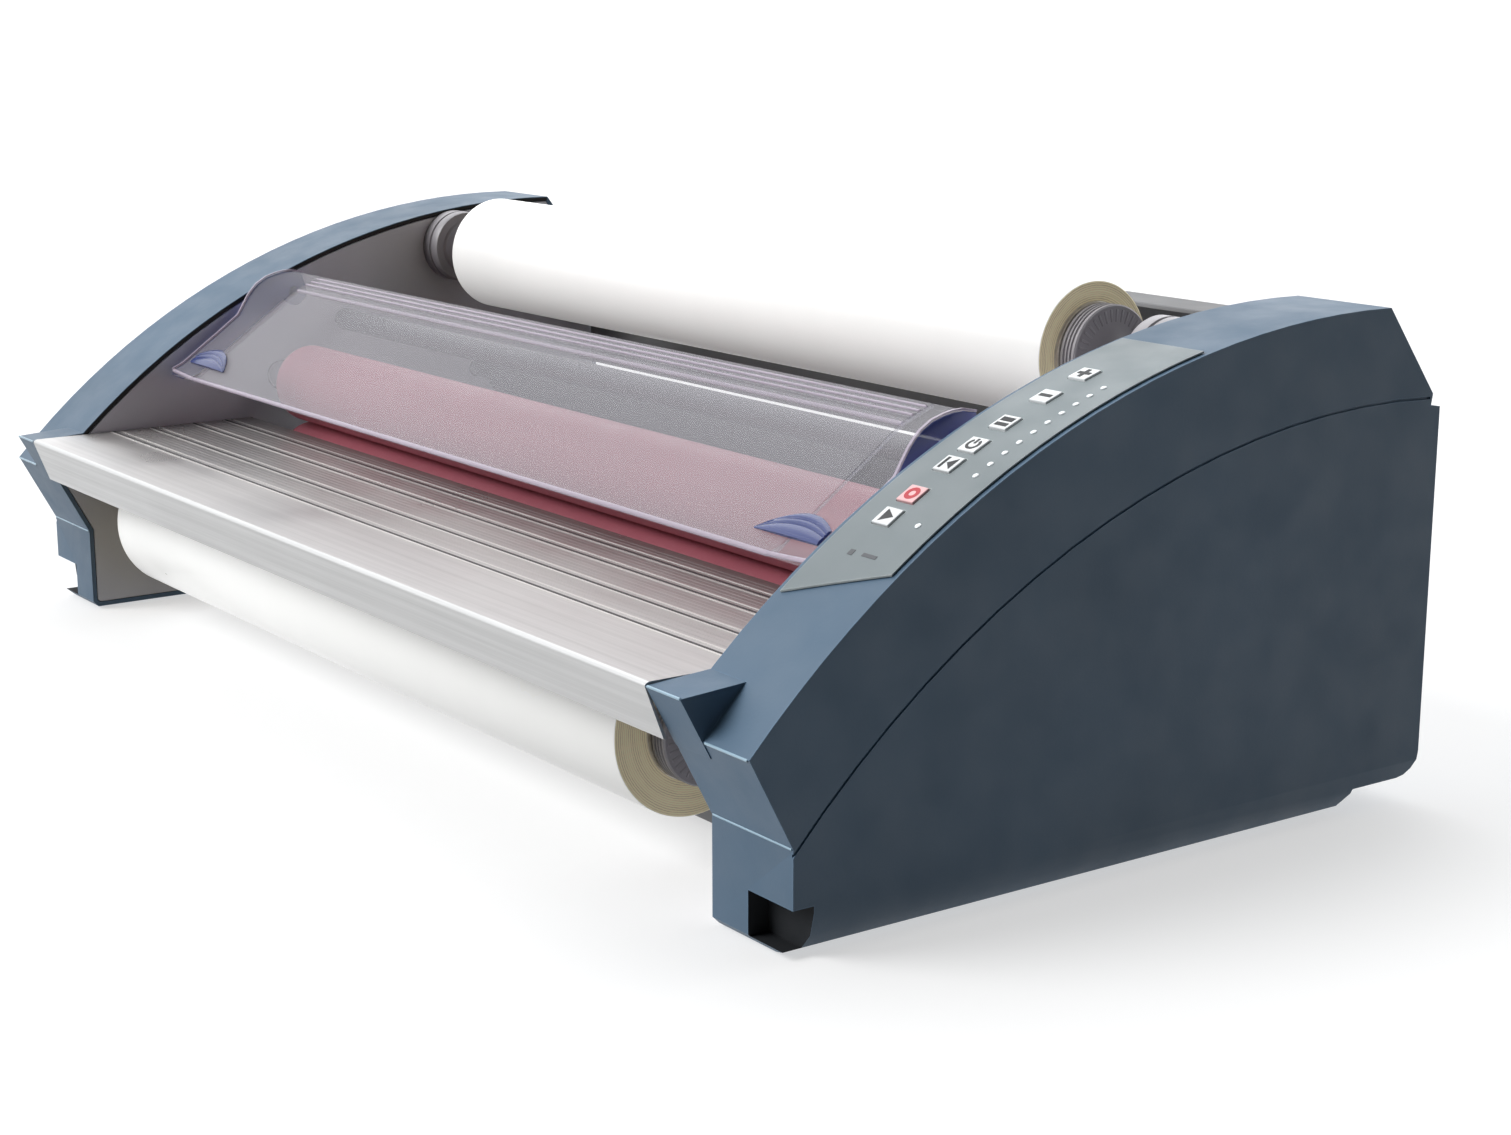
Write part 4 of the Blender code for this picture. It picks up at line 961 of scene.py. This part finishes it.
class LAMINATOR_OT_guard(bpy.types.Operator):
    """Build the clear guard, its folded edges made bright with beads of painted highlight, its
    upturned ends and the finger tabs
    """
    bl_idname = "laminator.guard"
    bl_label = "Guard"

    def execute(self, context):
        low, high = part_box("safety_shield")
        knee, bottom = Vector(GUARD_KNEE), Vector(GUARD_BOTTOM)
        top = Vector(GUARD_TOP)
        along = (knee - top).normalized()
        out = Vector((along.y, -along.x))
        crest = []
        for k in range(4):
            start = top + along * (0.0035 + 0.0042 * k)
            crest += [start, start + along * 0.0004 + out * 0.0004,
                      start + along * 0.0011 + out * 0.0004, start + along * 0.0015]
        flange = [tuple(point) for point in [top] + crest]
        bend = filleted([flange[-1], tuple(knee), tuple(bottom),
                         (bottom.x - 0.0040, bottom.y + 0.0004)], 0.0050, 5, closed=False)
        panel = extruded("guard_panel", ribbon(flange + bend[1:], GUARD_T * 0.8),
                         low.x, high.x)
        mount(rounded(panel, 0.0004, 2, 50.0), "shield", "guard_clear", "clear_acrylic",
              "safety_shield")
        reach = high.x - 0.0006
        # Beads along the knee, the flange lines, the foot and, further on, the corners: painted
        # highlight in a paler, less clear finish.
        knee_bead = turned("guard_knee_bead", rod(reach, BEAD_R["knee"], 0.0004),
                           (knee.x + 0.0012, knee.y - 0.0012), 16)
        mount(knee_bead, "shield", "guard_edge_highlight", "clear_acrylic")
        for k in range(3):
            spot = top + along * (0.0040 + 0.0048 * k)
            bead = turned(f"guard_flange_bead_{k}", rod(reach, BEAD_R["flange"], 0.0003),
                          (spot.x, spot.y + 0.0001), 12)
            mount(bead, "shield", "guard_edge_highlight", "clear_acrylic")
        foot_bead = turned("guard_foot_bead", rod(reach, BEAD_R["foot"], 0.0006),
                           (bottom.x - 0.0030, bottom.y - 0.0008), 20)
        mount(foot_bead, "shield", "guard_edge_highlight", "clear_acrylic")
        for side, way in sides():
            node = f"shield_bracket_{side}"
            made = rounded(copied(node, f"guard_bracket_{side}"), 0.0006, 3)
            mount(made, "shield", "guard_faint", "blue_clear", node)
            made.data.materials.append(finish("guard_clear"))
            made.data.materials.append(finish("blue_clear"))
            for polygon in made.data.polygons:
                if abs(polygon.center.x) > GUARD_END - 0.0008:
                    polygon.material_index = 2
                elif polygon.normal.z > 0.2:
                    polygon.material_index = 1
            # Strip along the crest of each upturned end: painted highlight line.
            rim = ribbon([(y, z + 0.0003) for y, z in GUARD_CREST], -0.0012)
            made = extruded(f"guard_rim_{side}", rim, way * (GUARD_END - 0.0016),
                            way * (GUARD_END + 0.0002))
            mount(made, "shield", "guard_edge_highlight", "clear_acrylic")
            low_end = Vector(GUARD_CREST[-1])
            made = beam(f"guard_corner_{side}",
                        (way * (reach - 0.0010), bottom.x - 0.0030, bottom.y - 0.0008),
                        (way * (GUARD_END - 0.0015), low_end.x + 0.0008, low_end.y - 0.0004),
                        BEAD_R["corner"])
            mount(made, "shield", "guard_edge_highlight", "clear_acrylic")
            self.tab(side, way, knee, bottom)
        return {"FINISHED"}

    def tab(self, side, way, knee, bottom):
        """Lens-shaped finger tab with grip ridges, on the front of the panel."""
        slope = (bottom - knee).normalized()
        out = Vector((slope.y, -slope.x))
        x0, x1 = GUARD_TAB
        foot = bottom - slope * 0.0100 + out * 0.0004
        count, rise, thick = 20, 0.0175, 0.0026
        mesh = bmesh.new()
        rows = []
        for k in range(count + 1):
            t = k / count
            x = way * (x0 + (x1 + 0.012 - x0) * t)
            if abs(x) > x1:
                x = way * x1
                t = (x1 - x0) / (x1 + 0.012 - x0)
            tall = rise * max(0.06, sin(pi * t) ** 0.8)
            deep = thick * max(0.25, sin(pi * t) ** 0.5)
            section = ((0.0, 0.0), (0.0, deep * 0.7), (tall * 0.15, deep),
                       (tall * 0.40, deep), (tall * 0.46, deep * 0.72),
                       (tall * 0.52, deep), (tall * 0.62, deep), (tall * 0.68, deep * 0.72),
                       (tall * 0.74, deep), (tall * 0.86, deep * 0.9), (tall, deep * 0.35),
                       (tall, 0.0))
            spots = [foot - slope * up + out * far for up, far in section]
            rows.append([mesh.verts.new((x, spot.x, spot.y)) for spot in spots])
            if abs(x) >= x1:
                break
        for low, high in zip(rows, rows[1:]):
            for k in range(len(low)):
                j = (k + 1) % len(low)
                mesh.faces.new((low[k], low[j], high[j], high[k]))
        mesh.faces.new(rows[0][::-1])
        mesh.faces.new(rows[-1])
        made = shaped(f"guard_tab_{side}", mesh, 50.0)
        mount(made, "shield", "blue_bright", "blue_clear", f"shield_tab_{side}")


class LAMINATOR_OT_supply(bpy.types.Operator):
    """Build the film rolls with their wound ends, the cores, mandrels and hubs"""
    bl_idname = "laminator.supply"
    bl_label = "Film supply"

    def execute(self, context):
        layers = context.scene.laminator_shape.film_layers
        draw = random.Random(11)
        for level in ("upper", "lower"):
            node = f"{level}_film_roll"
            low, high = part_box(node)
            axis, radius = axis_of(node), radius_of(node)
            bore = radius_of(f"{level}_core_tube") + 0.0003
            half, middle = (high.x - low.x) / 2, (high.x + low.x) / 2
            rim = 0.0009
            steps = [bore + (radius - rim - bore) * k / layers for k in range(layers + 1)]
            end = [(half - draw.uniform(0.0, 0.00016), r) for r in steps]
            side = [(half - rim * 0.35, radius - rim * 0.35), (half - rim, radius)]
            face = end + side
            profile = ([(middle - x, r) for x, r in face]
                       + [(middle + x, r) for x, r in face[::-1]])
            roll = turned(f"{level}_film", profile, axis, 96, 50.0)
            ends = f"{level}_film_end"
            mount(roll, f"{level}_supply", "film", "white_film", node)
            roll.data.materials.append(finish(ends))
            for polygon in roll.data.polygons:
                if abs(polygon.normal.x) > 0.5:
                    polygon.material_index = 1
            core = f"{level}_core_tube"
            low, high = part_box(core)
            made = turned(f"{level}_core", tube(low.x, high.x, radius_of(core),
                                                radius_of(core) - 0.0030, 0.0004), axis, 64)
            mount(made, f"{level}_supply", "core_card", "card_core", core)
            self.mandrel(level, axis)
            for side_name, way in sides():
                hub = f"{level}_hub_{side_name}"
                low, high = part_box(hub)
                x0, x1 = sorted((abs(low.x), abs(high.x)))
                big = radius_of(hub)
                bore_r = 0.0086
                turns = [(x0, bore_r), (x0, big * 0.70), (x0 + 0.0016, big * 0.76),
                         (x0 + 0.0016, big - 0.0006), (x0 + 0.0028, big),
                         (x0 + 0.0100, big), (x0 + 0.0106, big - 0.0012),
                         (x0 + 0.0120, big - 0.0012), (x0 + 0.0126, big), (x1, big),
                         (x1, bore_r)]
                made = turned(f"{hub}_turned", [(way * x, r) for x, r in turns],
                              axis_of(hub), 64)
                mount(made, "chassis", "chuck_plastic", "black_plastic", hub)
        return {"FINISHED"}

    def mandrel(self, level, axis):
        """Shaft with a chuck at each end whose rim is grooved for the fingers."""
        node = f"{level}_mandrel"
        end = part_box(node)[1].x
        film_low, film_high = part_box(f"{level}_film_roll")
        middle = (film_low.x + film_high.x) / 2
        rod_r, chuck_r, flange_r = 0.0080, 0.0250, 0.0285
        half = [(0.3000, rod_r), (0.3000, chuck_r - 0.001), (0.3010, chuck_r),
                (0.3285, chuck_r), (0.3285, flange_r - 0.0006), (0.3292, flange_r)]
        for k in range(3):
            x = 0.3310 + 0.0026 * k
            half += [(x, flange_r), (x + 0.0004, flange_r - 0.0010),
                     (x + 0.0012, flange_r - 0.0010), (x + 0.0016, flange_r)]
        half += [(0.3394, flange_r), (0.3402, flange_r - 0.0008), (0.3405, 0.0190),
                 (0.3412, 0.0150), (0.3430, rod_r + 0.0012), (0.3440, rod_r)]
        tip = [(end - 0.0006, rod_r), (end, rod_r - 0.0006), (end, 0.0)]
        chucks = [(-x, r) for x, r in reversed(half)] + half
        profile = ([(-x, r) for x, r in reversed(tip)]
                   + [(middle + x, r) for x, r in chucks] + tip)
        made = turned(f"{level}_shaft", profile, axis, 64)
        mount(made, f"{level}_supply", "chuck_plastic", "black_plastic", node)
        grips = []
        count = 36
        for way in (-1.0, 1.0):
            for k in range(count):
                angle = 2 * pi * (k + 0.5) / count
                spot = (middle + way * 0.3398, axis[0] + 0.0225 * cos(angle),
                        axis[1] + 0.0225 * sin(angle))
                grips.append((spot, (0.0, cos(angle), sin(angle))))
        teeth = studded(f"{level}_chuck_grips", grips,
                        block_shape("grip_shape", (0.0016, 0.0016, 0.0070), 0.0003),
                        "chuck_plastic")
        mount(teeth, f"{level}_supply", None, "black_plastic")


class LAMINATOR_OT_rollers(bpy.types.Operator):
    """Build the sleeves of the laminating rollers and the idler bars"""
    bl_idname = "laminator.rollers"
    bl_label = "Rollers"

    def execute(self, context):
        for level in ("upper", "lower"):
            sleeve = f"{level}_roller_sleeve"
            low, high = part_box(sleeve)
            made = turned(f"{level}_sleeve", tube(low.x, high.x, radius_of(sleeve), 0.0263,
                                                  0.0012), axis_of(sleeve), 80)
            mount(made, f"{level}_roller", "silicone", "red_silicone", sleeve)
            idler = f"{level}_idler_bar"
            low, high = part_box(idler)
            bar_end, pin_r = 0.3915, 0.0040
            half = [(bar_end - 0.0008, 0.0080), (bar_end, 0.0072), (bar_end, pin_r),
                    (high.x, pin_r)]
            profile = ([(-high.x, 0.0)] + [(-x, r) for x, r in reversed(half)] + half
                       + [(high.x, 0.0)])
            made = turned(f"{level}_idler", profile, axis_of(idler), 40)
            mount(made, f"{level}_idler", "dark_steel", "bare_steel", idler)
        return {"FINISHED"}


class LAMINATOR_OT_rear(bpy.types.Operator):
    """Build the rear cover, the base pan with its vents, and the screws"""
    bl_idname = "laminator.rear"
    bl_label = "Rear and base"

    def execute(self, context):
        count = context.scene.laminator_shape.vent_count
        cover = rounded(copied("rear_cover", "rear_cover_sheet"), 0.0006, 2, 20.0)
        mount(cover, "chassis", "cover_paint", "pale_overlay", "rear_cover")
        pan = copied("base_pan", "base_pan_sheet")
        cutters = []
        for x in (-0.300, -0.060):
            cutters.append(grown(f"vent_cut_{len(cutters)}", rows_tree, {
                "Start": (x, 0.2300, 0.0600), "Step": (0.0120, 0.0, 0.0), "Count": count,
                "Bar": (0.0045, 0.0100, 0.0420), "Finish": finish("black_plastic")}))
        for cutter in cutters:
            change = pan.modifiers.new(cutter.name, "BOOLEAN")
            change.operation = "DIFFERENCE"
            change.solver = "EXACT"
            change.object = cutter
        settled(pan)
        for cutter in cutters:
            bpy.data.objects.remove(cutter, do_unlink=True)
        mount(rounded(pan, 0.0004, 1, 40.0), "chassis", "cover_paint", "grey_frame",
              "base_pan")
        back = (0.0, 1.0, 0.0)
        wall_y = 0.2310
        places = [((x, wall_y, z), back) for x in (-0.375, -0.190, 0.175, 0.375)
                  for z in (0.0200, 0.1000)]
        places += [((x, wall_y, z), back) for x in (-0.375, 0.0, 0.375)
                   for z in (0.1580, 0.2140)]
        screws = studded("rear_screws", places, screw_head(), "screw_steel")
        mount(screws, "chassis", None, "bare_steel")
        return {"FINISHED"}


class LAMINATOR_OT_power(bpy.types.Operator):
    """Build the mains socket with its pins and the rocker"""
    bl_idname = "laminator.power"
    bl_label = "Mains socket"

    def execute(self, context):
        inlet = rounded(copied("power_inlet", "mains_socket"), 0.0006, 2)
        mount(inlet, "chassis", "black_plastic", "black_plastic", "power_inlet")
        middle = (0.3055, 0.0550)
        pins = [(middle[0] - 0.0070, middle[1]), (middle[0], middle[1] + 0.0040),
                (middle[0] + 0.0070, middle[1])]
        made = studded("socket_pins", [((x, 0.2245, z), (0.0, 1.0, 0.0)) for x, z in pins],
                       block_shape("pin_shape", (0.0020, 0.0040, 0.0130), 0.0004),
                       "bare_steel")
        mount(made, "chassis", None, "bare_steel")
        rocker = rounded(copied("power_rocker", "rocker_key"), 0.0006, 3)
        mount(rocker, "rocker", "rubber", "rubber", "power_rocker")
        return {"FINISHED"}


class LAMINATOR_OT_fixed_parts(bpy.types.Operator):
    """Give every part that is kept as it is a finish of its own"""
    bl_idname = "laminator.fixed_parts"
    bl_label = "Kept parts"

    finishes = {
        "side_frame": "frame_paint", "foot_strip": "rubber", "front_tie_bar": "bare_steel",
        "table_rail": "frame_paint", "keypad_board": "circuit_green",
        "power_supply": "satin_metal", "roller_bearing": "black_plastic",
        "pull_bearing": "black_plastic", "gear_motor": "satin_metal",
        "drive_belt": "rubber", "upper_heater": "satin_metal", "lower_heater": "satin_metal",
        "upper_roller_tube": "bare_steel", "lower_roller_tube": "bare_steel",
        "upper_roller_gear": "black_plastic", "lower_roller_gear": "black_plastic",
        "lower_roller_pulley": "black_plastic", "motor_pinion": "black_plastic",
        "lower_pull_roller": "rubber", "upper_pull_roller": "rubber",
    }

    def execute(self, context):
        for name, node in NODES.items():
            for start, finish_name in self.finishes.items():
                if name.startswith(start):
                    node.data.materials.clear()
                    node.data.materials.append(finish(finish_name))
        return {"FINISHED"}


class LAMINATOR_OT_stage(bpy.types.Operator):
    """Set the floor, the soft lights, the surroundings and the camera"""
    bl_idname = "laminator.stage"
    bl_label = "Stage"

    def execute(self, context):
        stage = context.scene.laminator_stage
        mesh = bpy.data.meshes.new("floor")
        reach = 60.0
        mesh.from_pydata([(-reach, -reach, 0), (reach, -reach, 0), (reach, reach, 0),
                          (-reach, reach, 0)], [], [(0, 1, 2, 3)])
        floor = linked("floor", mesh)
        floor.data.materials.append(finish("studio_floor"))
        floor.visible_diffuse = False
        self.sun("key_light", (-0.50, -1.0, 0.75), stage.key_power, 35.0)
        self.sun("top_light", (-0.60, 0.20, 1.0), stage.top_power, 45.0)
        self.surroundings(context, stage)
        view = bpy.data.cameras.new("camera")
        view.lens = stage.camera_lens
        view.sensor_width = 36.0
        view.clip_end = 200.0
        camera = bpy.data.objects.new("camera", view)
        context.scene.collection.objects.link(camera)
        azimuth, elevation = stage.camera_azimuth, stage.camera_elevation
        back = Vector((sin(azimuth) * cos(elevation), -cos(azimuth) * cos(elevation),
                       sin(elevation)))
        camera.location = stage.camera_place
        camera.rotation_euler = (-back).to_track_quat("-Z", "Y").to_euler()
        context.scene.camera = camera
        context.scene.view_settings.view_transform = "Standard"
        return {"FINISHED"}

    def sun(self, name, towards, power, spread):
        """Large soft light, from a direction."""
        light = bpy.data.lights.new(name, "SUN")
        light.energy = power
        light.angle = radians(spread)
        lamp = bpy.data.objects.new(name, light)
        lamp.rotation_euler = Vector(towards).to_track_quat("Z", "Y").to_euler()
        bpy.context.scene.collection.objects.link(lamp)

    def surroundings(self, context, stage):
        """Pale at the far left, dark at the control side."""
        world = bpy.data.worlds.new("surroundings")
        world.use_nodes = True
        context.scene.world = world
        tree = world.node_tree
        place = tree.nodes.new("ShaderNodeTexCoord")
        towards = tree.nodes.new("ShaderNodeVectorMath")
        towards.operation = "DOT_PRODUCT"
        towards.inputs[1].default_value = (-0.81, 0.58, 0.0)
        level = tree.nodes.new("ShaderNodeMapRange")
        level.interpolation_type = "SMOOTHSTEP"
        level.inputs["From Min"].default_value = -0.45
        level.inputs["From Max"].default_value = 0.8
        level.inputs["To Min"].default_value = stage.sky_dark
        level.inputs["To Max"].default_value = stage.sky_bright
        tree.links.new(place.outputs["Generated"], towards.inputs[0])
        tree.links.new(towards.outputs["Value"], level.inputs["Value"])
        tree.links.new(level.outputs["Result"],
                       tree.nodes["Background"].inputs["Strength"])
        tree.nodes["Background"].inputs["Color"].default_value = (0.97, 0.985, 1.0, 1.0)


class LAMINATOR_PT_pieces(bpy.types.Panel):
    """Lists the pieces of the laminator"""
    bl_idname = "LAMINATOR_PT_pieces"
    bl_label = "Laminator"
    bl_space_type = "VIEW_3D"
    bl_region_type = "UI"
    bl_category = "Laminator"

    def draw(self, context):
        for operator in OPERATORS:
            self.layout.operator(operator.bl_idname)
        for group in (context.scene.laminator_shape, context.scene.laminator_paint,
                      context.scene.laminator_stage):
            box = self.layout.box()
            for name in group.__annotations__:
                box.prop(group, name)


OPERATORS = (LAMINATOR_OT_stage, LAMINATOR_OT_fixed_parts, LAMINATOR_OT_cabinets,
             LAMINATOR_OT_keypad, LAMINATOR_OT_table, LAMINATOR_OT_guard,
             LAMINATOR_OT_supply, LAMINATOR_OT_rollers, LAMINATOR_OT_rear,
             LAMINATOR_OT_power)
CLASSES = (PaintSettings, ShapeSettings, StageSettings, *OPERATORS, LAMINATOR_PT_pieces)


def register():
    for item in CLASSES:
        bpy.utils.register_class(item)
    bpy.types.Scene.laminator_paint = bpy.props.PointerProperty(type=PaintSettings)
    bpy.types.Scene.laminator_shape = bpy.props.PointerProperty(type=ShapeSettings)
    bpy.types.Scene.laminator_stage = bpy.props.PointerProperty(type=StageSettings)


def unregister():
    del bpy.types.Scene.laminator_paint
    del bpy.types.Scene.laminator_shape
    del bpy.types.Scene.laminator_stage
    for item in reversed(CLASSES):
        bpy.utils.unregister_class(item)


def main():
    register()
    for operator in OPERATORS:
        step = operator.bl_idname.split(".")[1]
        getattr(bpy.ops.laminator, step)()


if __name__ == "__main__":
    main()
